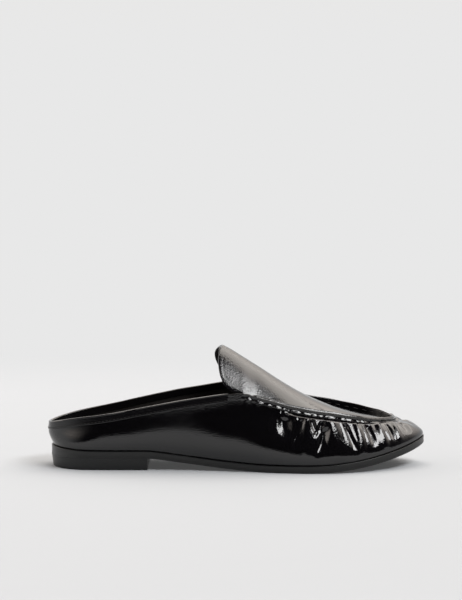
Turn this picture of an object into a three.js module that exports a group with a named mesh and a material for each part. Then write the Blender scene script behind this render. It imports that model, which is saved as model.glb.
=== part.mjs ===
// A backless moccasin mule for the right foot, in millimetres.
// +X points to the toe, +Y to the inner (medial) side of the foot and +Z up.
// The origin is the centre of the heel's tread, on the floor.
import * as THREE from 'three';
import { mergeVertices } from 'three/addons/utils/BufferGeometryUtils.js';

// Sizes of the sole and heel
const soleLength = 263;
const ballWidth = 88;
const heelWidth = 58;
const toeSwing = 8;          // how far the toe's tip lies to the inner side of the heel's axis
const soleThickness = 5;
const heelLift = 8.2;        // underside of the sole above the floor at the heel
const seatRise = 1.7;        // the seat curls up at the very back
const seatCurl = 40;         // over this length
const toeSpring = 15;
const edgeRound = 0.8;       // rounding of the sole's lower edge
const heelLength = 68.4;     // back of the heel to its breast
const heelInset = 0.5;       // the heel block stands in from the sole's edge
const heelTaper = 0.6;       // and draws in again towards its tread
const breastHollow = 3.5;    // the breast curves in towards the back
const heelRound = 0.4;       // rounding of the tread's edge

// Sizes of the upper and apron
const backHeight = 30.4;     // topline above the floor at the back of the heel
const throatHeight = 54;     // topline where the apron starts
const toeHeight = 32.5;      // raised seam above the floor, at the toe
const tabHeight = 84.8;      // top of the apron's tab
const medialRise = 2.3;      // the inner side stands this much higher
const collarWidth = 57;      // over the collar at the quarters
const apronWidth = 65;       // over the raised seam at the throat
const backOverhang = 1.8;    // the upper's back leans out over the heel
const toeInset = 18.5;       // from the upper's front edge back to the raised seam
const featherInset = 1.2;    // the sole's edge stands out from the upper's foot
const seamLip = 4.5;         // height of the raised seam
const upperWall = 2;         // leather and lining
const edgeWall = 1.4;        // the same, skived at the top edge
const apronWall = 1.7;
const rimRound = 0.3;        // the tab's rim is rounded by this much
const tabReach = 13;         // the tab's end lies this far behind the throat
const innerLobe = 4.8;       // its inner lobe reaches back this much more
const outerLobe = 2.2;       // and its outer lobe this much
const tabCorner = 4.2;       // its corners draw in this far
const quarterLean = 0.3;     // in the quarters the wall leans in to its top edge
const seamLean = 0.4;        // round the toe the raised seam leans out
const edgeSwell = 0.8;       // the quarters swell this far below the top edge

// Sizes of the small pieces
const bindingWidth = 5;
const bindingWall = 0.6;
const bindingTuck = 8.7;     // it stops this far behind the throat, in under the tab
const insoleThickness = 2.4;
const clearance = 0.3;       // between pieces that meet
const insoleClearance = 0.5; // all round the insole

// How finely the surfaces are cut
const sideSteps = 56;        // stations along each side
const wallSteps = 8;         // rows up the wall
const lipSteps = 2;
const skiveSteps = 3;        // the wall thins over this many rows
const tabSteps = 6;
const halfSteps = 6;         // across each half of the apron
const heelSteps = 22;
const breastSteps = 10;

// Outline of the sole. `at` is the share of its length. The half widths are shares
// of the local width, which runs from heelWidth to ballWidth, and swing is a share of toeSwing.
const outline = [
  { at: 0.00, lateral: 0.483, medial: 0.483, swing: 0.00 },
  { at: 0.10, lateral: 0.493, medial: 0.493, swing: 0.00 },
  { at: 0.20, lateral: 0.505, medial: 0.497, swing: 0.00 },
  { at: 0.30, lateral: 0.475, medial: 0.430, swing: 0.00 },
  { at: 0.40, lateral: 0.431, medial: 0.345, swing: 0.00 },
  { at: 0.50, lateral: 0.429, medial: 0.339, swing: 0.00 },
  { at: 0.58, lateral: 0.462, medial: 0.396, swing: 0.00 },
  { at: 0.66, lateral: 0.502, medial: 0.466, swing: 0.05 },
  { at: 0.74, lateral: 0.517, medial: 0.491, swing: 0.22 },
  { at: 0.82, lateral: 0.492, medial: 0.439, swing: 0.50 },
  { at: 0.90, lateral: 0.452, medial: 0.372, swing: 0.80 },
  { at: 1.00, lateral: 0.392, medial: 0.305, swing: 1.00 },
];

// The waist: how much of heelLift is left at shares of the way from the breast to the tread.
const waist = [
  { at: 0.00, lift: 1.00 },
  { at: 0.10, lift: 0.90 },
  { at: 0.24, lift: 0.71 },
  { at: 0.43, lift: 0.47 },
  { at: 0.65, lift: 0.22 },
  { at: 0.84, lift: 0.06 },
  { at: 1.00, lift: 0.00 },
];

// Top edge of the upper in plan: half width as a share of the local width,
// which runs from collarWidth to apronWidth.
const topOutline = [
  { at: 0.00, half: 0.474 },
  { at: 0.10, half: 0.479 },
  { at: 0.20, half: 0.490 },
  { at: 0.30, half: 0.488 },
  { at: 0.40, half: 0.470 },
  { at: 0.50, half: 0.479 },
  { at: 0.58, half: 0.493 },
  { at: 0.66, half: 0.495 },
  { at: 0.74, half: 0.477 },
  { at: 0.82, half: 0.438 },
  { at: 0.88, half: 0.408 },
  { at: 0.95, half: 0.362 },
];

// Height of the top edge. Up to the throat `rear` is the share from backHeight to
// throatHeight, after it `front` is the share from toeHeight to throatHeight, and
// inner is the share of medialRise that the inner side adds.
const topProfile = [
  { at: -0.007, rear: 0.000, front: 1.000, inner: 0.00 },
  { at: 0.022, rear: 0.084, front: 1.000, inner: 0.00 },
  { at: 0.075, rear: 0.207, front: 1.000, inner: 0.05 },
  { at: 0.129, rear: 0.295, front: 1.000, inner: 0.25 },
  { at: 0.183, rear: 0.396, front: 1.000, inner: 0.45 },
  { at: 0.237, rear: 0.515, front: 1.000, inner: 0.65 },
  { at: 0.290, rear: 0.630, front: 1.000, inner: 0.75 },
  { at: 0.344, rear: 0.744, front: 1.000, inner: 0.80 },
  { at: 0.398, rear: 0.840, front: 1.000, inner: 0.80 },
  { at: 0.451, rear: 0.930, front: 1.000, inner: 0.85 },
  { at: 0.505, rear: 1.000, front: 1.000, inner: 0.90 },
  { at: 0.559, rear: 1.000, front: 0.840, inner: 1.00 },
  { at: 0.612, rear: 1.000, front: 0.665, inner: 1.00 },
  { at: 0.667, rear: 1.000, front: 0.505, inner: 1.00 },
  { at: 0.720, rear: 1.000, front: 0.392, inner: 1.00 },
  { at: 0.774, rear: 1.000, front: 0.280, inner: 1.00 },
  { at: 0.828, rear: 1.000, front: 0.155, inner: 1.00 },
  { at: 0.881, rear: 1.000, front: 0.045, inner: 0.80 },
  { at: 0.924, rear: 1.000, front: 0.000, inner: 0.00 },
];

// Wall of the upper at shares of its length. swell is how far it bulges past its foot,
// as a share of ballWidth; shoulder runs from 0, a wall that stands up, to 1, one that
// turns in flat over the toes; tuck draws the foot of the raised seam in under its top.
const wallProfile = [
  { at: 0.00, swell: 0.020, shoulder: 0.00, tuck: 0.00 },
  { at: 0.15, swell: 0.036, shoulder: 0.00, tuck: 0.00 },
  { at: 0.40, swell: 0.054, shoulder: 0.00, tuck: 0.00 },
  { at: 0.48, swell: 0.070, shoulder: 0.10, tuck: 0.10 },
  { at: 0.56, swell: 0.072, shoulder: 0.20, tuck: 0.45 },
  { at: 0.66, swell: 0.064, shoulder: 0.22, tuck: 0.60 },
  { at: 0.76, swell: 0.056, shoulder: 0.20, tuck: 0.60 },
  { at: 0.84, swell: 0.048, shoulder: 0.22, tuck: 0.60 },
  { at: 0.90, swell: 0.044, shoulder: 0.30, tuck: 0.60 },
  { at: 0.95, swell: 0.040, shoulder: 0.52, tuck: 0.60 },
  { at: 1.00, swell: 0.038, shoulder: 1.08, tuck: 0.60 },
];

// Crest of the apron: its height as the share from toeHeight to tabHeight.
const crestProfile = [
  { at: 0.420, crest: 1.070 },
  { at: 0.456, crest: 1.000 },
  { at: 0.478, crest: 0.943 },
  { at: 0.505, crest: 0.859 },
  { at: 0.559, crest: 0.688 },
  { at: 0.612, crest: 0.514 },
  { at: 0.667, crest: 0.350 },
  { at: 0.720, crest: 0.223 },
  { at: 0.774, crest: 0.122 },
  { at: 0.828, crest: 0.052 },
  { at: 0.881, crest: 0.002 },
  { at: 0.924, crest: -0.060 },
];

// Places along the shoe, as shares of soleLength
const treadStartAt = 0.58;        // the sole lies flat on the floor from here
const treadEndAt = 0.68;          // to here
const widenFromAt = 0.2;          // heelWidth and collarWidth hold up to here
const ballAt = 0.62;              // ballWidth from here
const seamWidthAt = 0.5;          // apronWidth from here
const throatAt = 0.505;           // the topline meets the apron
const toeSeamAt = 0.8;            // the raised seam starts to get lower
const seamRampShare = 0.045;      // the raised seam grows to its height over this share
const heelRoundShare = 0.105;     // the heel's end is round over this share
const collarRoundShare = 0.17;
const toeRoundShare = 0.225;
const seamRoundShare = 0.20;

// Characters of the curves
const toeSquareness = 2.4;        // 2 is an ellipse, more is a squarer toe
const seamSquareness = 2.6;
const springPower = 2;
const archPower = 2.1;            // roundness of the apron across the foot
const tabFlare = 0.17;            // the tab's edges rise this steeply behind the throat
const toeLipShare = 0.72;         // of seamLip, at the toe
const lowHandle = 0.38;           // the wall heads up from its foot for this share of its height
const highHandle = 0.36;          // and comes up to its top edge over this share,
const shoulderHandle = 0.07;      // or over this one where it turns in flat
const shoulderReach = 0.6;        // across this share of its way in
const fanShare = 0.36;            // share of the apron where its sections fan out to the toe
const fanStopShare = 0.16;        // the last of them start this share short of its tip
const originX = heelLength / 2;

const { lerp, smoothstep } = THREE.MathUtils;

// A smooth line through one column of a table: cubic pieces that never overshoot the rows.
function through(rows, column) {
  const xs = rows.map((row) => row.at);
  const ys = rows.map((row) => row[column]);
  const chords = xs.slice(1).map((x, i) => (ys[i + 1] - ys[i]) / (x - xs[i]));
  const slopes = xs.map((_, i) => {
    if (i === 0) return chords[0];
    if (i === xs.length - 1) return chords[i - 1];
    const before = chords[i - 1];
    const after = chords[i];
    return before * after <= 0 ? 0 : (2 * before * after) / (before + after);
  });
  return (at) => {
    const x = Math.min(Math.max(at, xs[0]), xs[xs.length - 1]);
    let i = 0;
    while (i < xs.length - 2 && x > xs[i + 1]) i += 1;
    const span = xs[i + 1] - xs[i];
    const t = (x - xs[i]) / span;
    const s = 1 - t;
    return ys[i] * (1 + 2 * t) * s * s + slopes[i] * span * t * s * s
      + ys[i + 1] * (1 + 2 * s) * t * t - slopes[i + 1] * span * s * t * t;
  };
}

const lateralHalf = through(outline, 'lateral');
const medialHalf = through(outline, 'medial');
const swingShare = through(outline, 'swing');
const liftShare = through(waist, 'lift');
const topHalf = through(topOutline, 'half');
const rearShare = through(topProfile, 'rear');
const frontShare = through(topProfile, 'front');
const innerShare = through(topProfile, 'inner');
const swellShare = through(wallProfile, 'swell');
const shoulderShare = through(wallProfile, 'shoulder');
const tuckShare = through(wallProfile, 'tuck');
const crestShare = through(crestProfile, 'crest');

// Rounding of a loop's two ends: 0 at the tips and 1 along the sides.
function roundEnds(x, back, front, backRound, frontRound, squareness) {
  const b = Math.max(0, 1 - (x - back) / backRound);
  const f = Math.max(0, 1 - (front - x) / frontRound);
  return Math.sqrt(Math.max(0, 1 - b * b)) * Math.sqrt(Math.max(0, 1 - f ** squareness));
}

// The sole: y of its edge, and z of its underside and top, x millimetres from the back.
function soleY(x, side) {
  const at = x / soleLength;
  const local = lerp(heelWidth, ballWidth, smoothstep(at, widenFromAt, ballAt));
  const half = local * (side < 0 ? lateralHalf(at) : medialHalf(at));
  const round = roundEnds(x, 0, soleLength, heelRoundShare * soleLength,
    toeRoundShare * soleLength, toeSquareness);
  return toeSwing * swingShare(at) + side * half * round;
}
function soleUnder(x) {
  const treadStart = treadStartAt * soleLength;
  const treadEnd = treadEndAt * soleLength;
  const inWaist = (x - heelLength) / (treadStart - heelLength);
  const inToe = Math.max(0, (x - treadEnd) / (soleLength - treadEnd));
  return heelLift * liftShare(inWaist) + toeSpring * inToe ** springPower;
}
function soleTop(x) {
  const curl = Math.max(0, 1 - x / seatCurl);
  return soleUnder(x) + soleThickness + seatRise * curl * curl;
}

// A loop round the shoe: stations from the back along the outer side to the toe and
// back along the inner side. Each holds its angle, its side and its share of the length.
function stations(steps) {
  return Array.from({ length: 2 * steps }, (_, i) => {
    const turn = (Math.PI * i) / steps;
    return { side: i <= steps ? -1 : 1, share: (1 - Math.cos(turn)) / 2 };
  });
}
function solePoint({ side, share }) {
  const x = share * soleLength;
  return new THREE.Vector2(x, soleY(x, side));
}

// Outward normals of a plan loop that runs with the outer side first.
function loopNormals(loop) {
  return loop.map((_, i) => {
    const before = loop[(i + loop.length - 1) % loop.length];
    const after = loop[(i + 1) % loop.length];
    const along = after.clone().sub(before).normalize();
    return new THREE.Vector2(along.y, -along.x);
  });
}

// The same loop moved in by `inset`.
function insetLoop(loop, inset) {
  const normals = loopNormals(loop);
  return loop.map((point, i) => point.clone().addScaledVector(normals[i], -inset));
}

const around = stations(sideSteps);
const soleLoop = around.map(solePoint);
const footLoop = insetLoop(soleLoop, featherInset);
const footNormals = loopNormals(footLoop);
const seamTipX = soleLength - featherInset - toeInset;

// Height of the upper's top edge, and of the raised seam in it.
function topZ(x, side) {
  const at = x / soleLength;
  const z = lerp(backHeight, throatHeight, rearShare(at))
    + (toeHeight - throatHeight) * (1 - frontShare(at));
  return side < 0 ? z : z + medialRise * innerShare(at);
}
const lipAt = (x) => seamLip * lerp(1, toeLipShare, smoothstep(x, toeSeamAt * soleLength, seamTipX));

// The upper's top edge, for the station that stands on one point of its foot.
function topEdge(i) {
  const { side, share } = around[i];
  const slide = -(backOverhang + featherInset) * (1 - smoothstep(share, 0, collarRoundShare))
    - toeInset * smoothstep(share, seamWidthAt, 1);
  const x = footLoop[i].x + slide;
  const at = x / soleLength;
  const local = lerp(collarWidth, apronWidth, smoothstep(at, widenFromAt, seamWidthAt));
  const round = roundEnds(x, -backOverhang, seamTipX, collarRoundShare * soleLength,
    seamRoundShare * soleLength, seamSquareness);
  const y = toeSwing * swingShare(at) + side * local * topHalf(at) * round;
  return new THREE.Vector3(x, y, topZ(x, side));
}

// Outer face of the upper at station i: rows from its foot up the wall, then up the lip.
function wallColumn(i) {
  const at = footLoop[i].x / soleLength;
  const normal = new THREE.Vector3(footNormals[i].x, footNormals[i].y, 0);
  const up = new THREE.Vector3(0, 0, 1);
  const foot = new THREE.Vector3(footLoop[i].x, footLoop[i].y, soleTop(footLoop[i].x) + clearance);
  const top = topEdge(i);
  const lipFoot = top.clone().addScaledVector(up, -lipAt(top.x))
    .addScaledVector(normal, lerp(quarterLean, -seamLean, tuckShare(at)));
  const height = lipFoot.z - foot.z;
  const reach = Math.hypot(foot.x - lipFoot.x, foot.y - lipFoot.y);
  const shoulder = shoulderShare(at);
  const low = foot.clone().addScaledVector(up, lowHandle * height)
    .addScaledVector(normal, swellShare(at) * ballWidth);
  const high = lipFoot.clone()
    .addScaledVector(normal, lerp(edgeSwell, shoulderReach * reach, shoulder))
    .addScaledVector(up, -height * lerp(highHandle, shoulderHandle, shoulder));
  const rows = new THREE.CubicBezierCurve3(foot, low, high, lipFoot).getPoints(wallSteps);
  for (let k = 1; k <= lipSteps; k += 1) rows.push(lipFoot.clone().lerp(top, k / lipSteps));
  return rows;
}

// Normals of a grid of points that closes in its first direction.
function gridNormals(grid) {
  return grid.map((column, i) => column.map((_, j) => {
    const before = grid[(i + grid.length - 1) % grid.length][j];
    const after = grid[(i + 1) % grid.length][j];
    const below = column[Math.max(j - 1, 0)];
    const above = column[Math.min(j + 1, column.length - 1)];
    const along = after.clone().sub(before);
    return along.cross(above.clone().sub(below)).normalize();
  }));
}

// An indexed geometry with its faces turned outwards.
function solid(positions, faces) {
  let volume = 0;
  const corner = (n) => new THREE.Vector3().fromArray(positions, 3 * n);
  for (let f = 0; f < faces.length; f += 3) {
    volume += corner(faces[f]).dot(corner(faces[f + 1]).cross(corner(faces[f + 2])));
  }
  const geometry = new THREE.BufferGeometry();
  geometry.setAttribute('position', new THREE.Float32BufferAttribute(positions, 3));
  geometry.setIndex(volume < 0 ? faces.slice().reverse() : faces);
  return geometry;
}

const coordinates = (sections) => sections.flat().flatMap((p) => [p.x, p.y, p.z]);

// Faces between sections that are closed loops of equal size, the last of them joined
// to the first where `ring` is true.
function sides(sections, ring) {
  const size = sections[0].length;
  const faces = [];
  for (let i = 0; i < (ring ? sections.length : sections.length - 1); i += 1) {
    const here = i * size;
    const next = ((i + 1) % sections.length) * size;
    for (let j = 0; j < size; j += 1) {
      const k = (j + 1) % size;
      faces.push(here + j, next + j, next + k, here + j, next + k, here + k);
    }
  }
  return faces;
}

// A cap over section i, cut into strips between the two halves of its loop.
function stripCap(sections, i, turned) {
  const size = sections[0].length;
  const base = i * size;
  const faces = [];
  for (let j = 0; j < size / 2 - 1; j += 1) {
    const k = size - 1 - j;
    faces.push(j, j + 1, k - 1, j, k - 1, k);
  }
  const placed = faces.map((n) => base + n);
  return turned ? placed.reverse() : placed;
}

// A ring that closes on itself, and a strip that ends in two caps.
const ringSolid = (sections) => solid(coordinates(sections), sides(sections, true));
const stripSolid = (sections) => solid(coordinates(sections), [
  ...sides(sections, false),
  ...stripCap(sections, 0, false),
  ...stripCap(sections, sections.length - 1, true),
]);

// A strip whose first section is capped and whose last is folded shut.
function foldedSolid(sections) {
  const open = new THREE.BufferGeometry();
  open.setAttribute('position', new THREE.Float32BufferAttribute(coordinates(sections), 3));
  open.setIndex([...sides(sections, false), ...stripCap(sections, 0, false)]);
  const folded = mergeVertices(open, 1e-4);
  const index = Array.from(folded.index.array);
  const kept = [];
  for (let f = 0; f < index.length; f += 3) {
    const [a, b, c] = index.slice(f, f + 3);
    if (a !== b && b !== c && c !== a) kept.push(a, b, c);
  }
  return solid(Array.from(folded.attributes.position.array), kept);
}

// A slab over a plan loop: rings stacked from its underside to its top, both faces
// cut into strips between the outer and inner side.
function slab(rings) {
  const count = rings[0].length;
  const cap = (base, turned) => {
    const faces = [];
    for (let i = 0; i < count / 2; i += 1) {
      const b = i + 1;
      const c = (count - i - 1) % count;
      const d = (count - i) % count;
      if (c !== b) faces.push(i, b, c);
      if (i > 0) faces.push(i, c, d);
    }
    const placed = faces.map((n) => base + n);
    return turned ? placed.reverse() : placed;
  };
  const top = (rings.length - 1) * count;
  const walls = sides(rings, false).reverse();
  return solid(coordinates(rings), [...walls, ...cap(0, true), ...cap(top, false)]);
}

const raise = (loop, height) => loop.map((p) => new THREE.Vector3(p.x, p.y, height(p.x)));

function outsole() {
  return slab([
    raise(insetLoop(soleLoop, edgeRound), soleUnder),
    raise(soleLoop, (x) => soleUnder(x) + edgeRound),
    raise(soleLoop, (x) => soleTop(x) - edgeRound / 2),
    raise(insetLoop(soleLoop, edgeRound / 2), soleTop),
  ]);
}

// Outline of the heel block, moved in by `inset`: round behind, with a breast that curves in.
function heelOutline(inset) {
  const points = [];
  for (let i = -heelSteps; i <= heelSteps; i += 1) {
    const x = heelLength * (1 - Math.cos((Math.PI / 2) * (i / heelSteps)));
    points.push(new THREE.Vector2(x, soleY(x, i < 0 ? -1 : 1)));
  }
  const last = points.length - 1;
  const moved = points.map((p, i) => {
    const along = points[Math.min(i + 1, last)].clone().sub(points[Math.max(i - 1, 0)]).normalize();
    return new THREE.Vector2(p.x + along.y * inset, p.y - along.x * inset);
  });
  return moved.reverse();
}

function heel() {
  const ringAt = (inset, z) => {
    const back = heelOutline(inset);
    const from = back[back.length - 1].y;
    const to = back[0].y;
    const breast = Array.from({ length: breastSteps - 1 }, (_, i) => {
      const t = (i + 1) / breastSteps;
      return new THREE.Vector2(heelLength - breastHollow * 4 * t * (1 - t), lerp(from, to, t));
    });
    return [...back, ...breast].map((p) => new THREE.Vector3(p.x, p.y, z));
  };
  const rings = [
    ringAt(heelInset + heelTaper + heelRound, 0),
    ringAt(heelInset + heelTaper, heelRound),
    ringAt(heelInset, heelLift - clearance),
  ];
  const top = (rings.length - 1) * rings[0].length;
  const flat = rings[0].map((p) => new THREE.Vector2(p.x, p.y));
  const caps = THREE.ShapeUtils.triangulateShape(flat, []).flatMap(([a, b, c]) => {
    const left = flat[b].clone().sub(flat[a]).cross(flat[c].clone().sub(flat[a])) > 0;
    const [p, q] = left ? [b, c] : [c, b];
    return [a, q, p, top + a, top + p, top + q];
  });
  return solid(coordinates(rings), [...sides(rings, false).reverse(), ...caps]);
}

// The insole lies inside the upper's foot, on the sole.
function insole() {
  const loop = insetLoop(footLoop, upperWall + insoleClearance);
  return slab([
    raise(loop, (x) => soleTop(x) + clearance),
    raise(loop, (x) => soleTop(x) + clearance + insoleThickness),
  ]);
}

const outerWall = around.map((_, i) => wallColumn(i));
const wallNormals = gridNormals(outerWall);
const rowCount = wallSteps + lipSteps;

// Thickness of the upper's wall at a row, thinner towards the top edge.
const wallAt = (j) => lerp(upperWall, edgeWall, smoothstep(j, wallSteps - skiveSteps, wallSteps));

function upper() {
  const sections = outerWall.map((column, i) => {
    const inner = column.map((p, j) => {
      const normal = wallNormals[i][j].clone();
      if (j === 0 || j > wallSteps) normal.setZ(0).normalize();
      return p.clone().addScaledVector(normal, -wallAt(j));
    });
    inner[0].z = soleTop(inner[0].x) + clearance;
    inner[rowCount].z = column[rowCount].z;
    return [...column, ...inner.reverse()];
  });
  return ringSolid(sections);
}

// The apron lies inside the raised seam. This is its turned-up edge at station i and one
// row of the upper's wall, `extra` further in than the edge's outer face.
const throatX = throatAt * soleLength;
function apronEdge(i, row, extra) {
  const normal = wallNormals[i][rowCount].clone().setZ(0).normalize();
  return outerWall[i][row].clone().addScaledVector(normal, -(edgeWall + clearance + extra));
}

// The inner face of that edge on each side, from the heel to the toe.
const edgeLine = (side) => around.map((_, i) => i)
  .filter((i) => around[i].side === side || i === 0 || i === sideSteps)
  .map((i) => apronEdge(i, wallSteps, apronWall))
  .sort((a, b) => a.x - b.x);
const outerLine = edgeLine(-1);
const innerLine = edgeLine(1);
const apronTipX = outerLine[outerLine.length - 1].x;

function lineY(line, x) {
  let i = 0;
  while (i < line.length - 2 && x > line[i + 1].x) i += 1;
  const t = (x - line[i].x) / (line[i + 1].x - line[i].x);
  return lerp(line[i].y, line[i + 1].y, Math.min(Math.max(t, 0), 1));
}
const apronHalf = (x) => (lineY(innerLine, x) - lineY(outerLine, x)) / 2;
const apronMiddle = (x) => (lineY(innerLine, x) + lineY(outerLine, x)) / 2;

// How far the raised seam has grown at x: nothing at the throat, all of it ahead.
const seamGrowth = (x) => smoothstep(x / soleLength, throatAt, throatAt + seamRampShare);

// Height of the apron's top over a point of its plan. Its edge runs at the topline's
// height at the throat and at the foot of the raised seam ahead of it.
function apronZ(x, y) {
  const row = Math.max(x, throatX);
  const middle = apronMiddle(row);
  const edge = topZ(row, y < middle ? -1 : 1) - lipAt(row) * seamGrowth(row)
    + tabFlare * Math.max(0, throatX - x);
  const crest = lerp(toeHeight, tabHeight, crestShare(x / soleLength));
  const across = Math.min(1, Math.abs(y - middle) / Math.max(apronHalf(row), 1e-6));
  return crest - (crest - edge) * across ** archPower;
}

// A point on the apron's top, and the one under it.
const apronTop = (x, y) => new THREE.Vector3(x, y, apronZ(x, y));
function apronUnder(x, y) {
  const step = 0.2;
  const slopeX = (apronZ(x + step, y) - apronZ(x - step, y)) / (2 * step);
  const slopeY = (apronZ(x, y + step) - apronZ(x, y - step)) / (2 * step);
  const normal = new THREE.Vector3(-slopeX, -slopeY, 1).normalize();
  return apronTop(x, y).addScaledVector(normal, -apronWall);
}

const halfShares = Array.from({ length: halfSteps + 1 }, (_, k) => k / halfSteps);

// The two middle points of a rounded rim between a top and an under edge.
function rimPoints(edge, below, outwards) {
  return [0.3, 0.7].map((t) => edge.clone().lerp(below, t).addScaledVector(outwards, rimRound));
}

// One side of a section through the tab, from its middle out to its rim. Its end has
// two lobes: they reach back most at 0.7 of the way out.
function tabSide(base, side) {
  const back = (throatX - base) / tabReach;
  const half = apronHalf(throatX) - tabCorner * (1 - Math.sqrt(Math.max(0, 1 - back * back)));
  const lobe = side < 0 ? outerLobe : innerLobe;
  const plan = halfShares.map((v) => new THREE.Vector2(
    base - lobe * back * 4 * v * v * (1 - v * v),
    apronMiddle(throatX) + side * v * half,
  ));
  const top = plan.map((p) => apronTop(p.x, p.y));
  const under = plan.map((p) => apronUnder(p.x, p.y));
  const rim = rimPoints(top[halfSteps], under[halfSteps], new THREE.Vector3(0, side, 0));
  return { top: [...top, rim[0]], under: [...under, rim[1]] };
}

// One side of a section that ends in the raised seam, at station i. Towards the toe
// the sections fan out from points on the middle line that stop short of the seam.
function seamSide(i, fromX) {
  const inner = apronEdge(i, wallSteps, apronWall);
  const outer = apronEdge(i, wallSteps, 0);
  const growth = seamGrowth(inner.x);
  const start = new THREE.Vector2(fromX, apronMiddle(fromX));
  const end = new THREE.Vector2(inner.x, inner.y);
  const plan = halfShares.map((v) => start.clone().lerp(end, v));
  const top = plan.map((p) => apronTop(p.x, p.y));
  const under = plan.map((p) => apronUnder(p.x, p.y));
  const footZ = topZ(inner.x, around[i].side) - lipAt(inner.x) * growth;
  top[halfSteps].z = footZ;
  under[halfSteps].lerp(new THREE.Vector3(outer.x, outer.y, footZ - apronWall), growth);
  const outwards = outer.clone().sub(inner).setZ(0).normalize();
  const rim = rimPoints(top[halfSteps], under[halfSteps], outwards);
  rim[0].lerp(apronEdge(i, rowCount, apronWall), growth);
  rim[1].lerp(apronEdge(i, rowCount, 0), growth);
  return { top: [...top, rim[0]], under: [...under, rim[1]] };
}

// The points the sections start from, for a seam that has reached x.
function spineX(x) {
  const fan = fanShare * (apronTipX - throatX);
  const reach = fan - fanStopShare * (apronTipX - throatX);
  const bend = apronTipX - fan;
  const left = Math.max(0, (apronTipX - x) / fan);
  return x < bend ? x : bend + reach * (1 - left ** (fan / reach));
}

function apron() {
  const loopOf = (left, right) => [
    ...left.top.slice().reverse(), ...right.top.slice(1),
    ...right.under.slice().reverse(), ...left.under.slice(1),
  ];
  const sections = [];
  for (let a = 0; a < tabSteps; a += 1) {
    const base = throatX - tabReach * Math.cos((Math.PI / 2) * (a / tabSteps));
    sections.push(loopOf(tabSide(base, -1), tabSide(base, 1)));
  }
  const reachOf = (i) => apronEdge(i, wallSteps, apronWall).x;
  for (let i = 0; i <= sideSteps; i += 1) {
    const mirror = (2 * sideSteps - i) % (2 * sideSteps);
    const reached = (reachOf(i) + reachOf(mirror)) / 2;
    if (reached > throatX) {
      const fromX = spineX(reached);
      sections.push(loopOf(seamSide(i, fromX), seamSide(mirror, fromX)));
    }
  }
  return foldedSolid(sections);
}

// A thin strip folded over the topline, from the throat round the heel to the throat.
function collarBinding() {
  const endX = throatX - bindingTuck;
  const rear = around.map((_, i) => i).filter((i) => outerWall[i][rowCount].x < endX);
  const split = rear.findIndex((i, n) => n > 0 && i - rear[n - 1] > 1);
  const order = [...rear.slice(split), ...rear.slice(0, split)];
  const sections = order.map((i) => {
    const top = outerWall[i][rowCount];
    const down = outerWall[i][wallSteps].clone().sub(top).normalize();
    const normal = wallNormals[i][rowCount].clone().setZ(0).normalize();
    const point = (outwards, downwards) => top.clone()
      .addScaledVector(normal, outwards).addScaledVector(down, downwards);
    const leaf = (gap, corner) => [
      point(gap + clearance / 2, bindingWidth),
      point(gap, bindingWidth / 2),
      point(gap, 0),
      point(gap * corner, -gap * corner),
      point(-edgeWall - gap * corner, -gap * corner),
      point(-edgeWall - gap, 0),
      point(-edgeWall - gap, bindingWidth / 2),
      point(-edgeWall - gap, seamLip),
    ];
    return [...leaf(clearance + bindingWall, 0.85), ...leaf(clearance, 0.85).reverse()];
  });
  return stripSolid(sections);
}

const leather = { color: 0x0b0a0c, roughness: 0.12, metalness: 0 };
const rubber = { color: 0x161616, roughness: 0.5, metalness: 0 };
const lining = { color: 0x12110f, roughness: 0.6, metalness: 0 };

const shoe = new THREE.Group();
const frame = new THREE.Group();
frame.position.x = -originX;
shoe.add(frame);

function place(name, geometry, finish) {
  const mesh = new THREE.Mesh(geometry, new THREE.MeshStandardMaterial(finish));
  mesh.name = name;
  frame.add(mesh);
}

place('outsole', outsole(), rubber);
place('heel', heel(), rubber);
place('insole', insole(), lining);
place('upper', upper(), leather);
place('apron', apron(), leather);
place('collar_binding', collarBinding(), leather);

export default shoe;
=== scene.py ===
# %% [markdown]
# # A backless moccasin mule
#
# The real object is a right-foot house mule in polished black leather: a low back, a
# vamp gathered by hand into a raised seam round a smooth apron, and a tab that stands
# up over the instep. It stands on a flat rubber sole with a low heel block.
#
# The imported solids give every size. This script dresses them: each piece is worked out
# again here as a finer surface, with the folds, seams, bindings and stitches that a
# solid leaves out.

# %% Load the frame
import math

import bmesh
import bpy
import mathutils
import numpy as np
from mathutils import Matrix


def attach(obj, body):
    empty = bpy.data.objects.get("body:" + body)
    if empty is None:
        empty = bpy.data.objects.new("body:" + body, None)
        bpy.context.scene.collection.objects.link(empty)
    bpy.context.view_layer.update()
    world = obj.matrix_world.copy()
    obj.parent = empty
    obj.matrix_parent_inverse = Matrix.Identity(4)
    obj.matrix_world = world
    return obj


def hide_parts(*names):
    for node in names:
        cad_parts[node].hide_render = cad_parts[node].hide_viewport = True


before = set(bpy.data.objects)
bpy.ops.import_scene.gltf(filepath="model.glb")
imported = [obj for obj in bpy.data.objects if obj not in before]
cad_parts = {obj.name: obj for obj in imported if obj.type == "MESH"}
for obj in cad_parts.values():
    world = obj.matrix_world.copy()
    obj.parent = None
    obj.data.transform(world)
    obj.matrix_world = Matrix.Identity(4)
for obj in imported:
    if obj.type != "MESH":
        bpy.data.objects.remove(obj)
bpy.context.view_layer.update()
print("frame nodes", sorted(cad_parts))

# %% [markdown]
# ## Sizes
#
# A shoe is made over a last, so nearly all of its shape follows from a few lengths and
# from a handful of lines drawn along the last. The lengths are in millimetres from the
# back of the sole, and the lines hold shares of them. They are the ones that the solids
# were made from, so a piece made here lands on its solid without any fitting.

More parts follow.
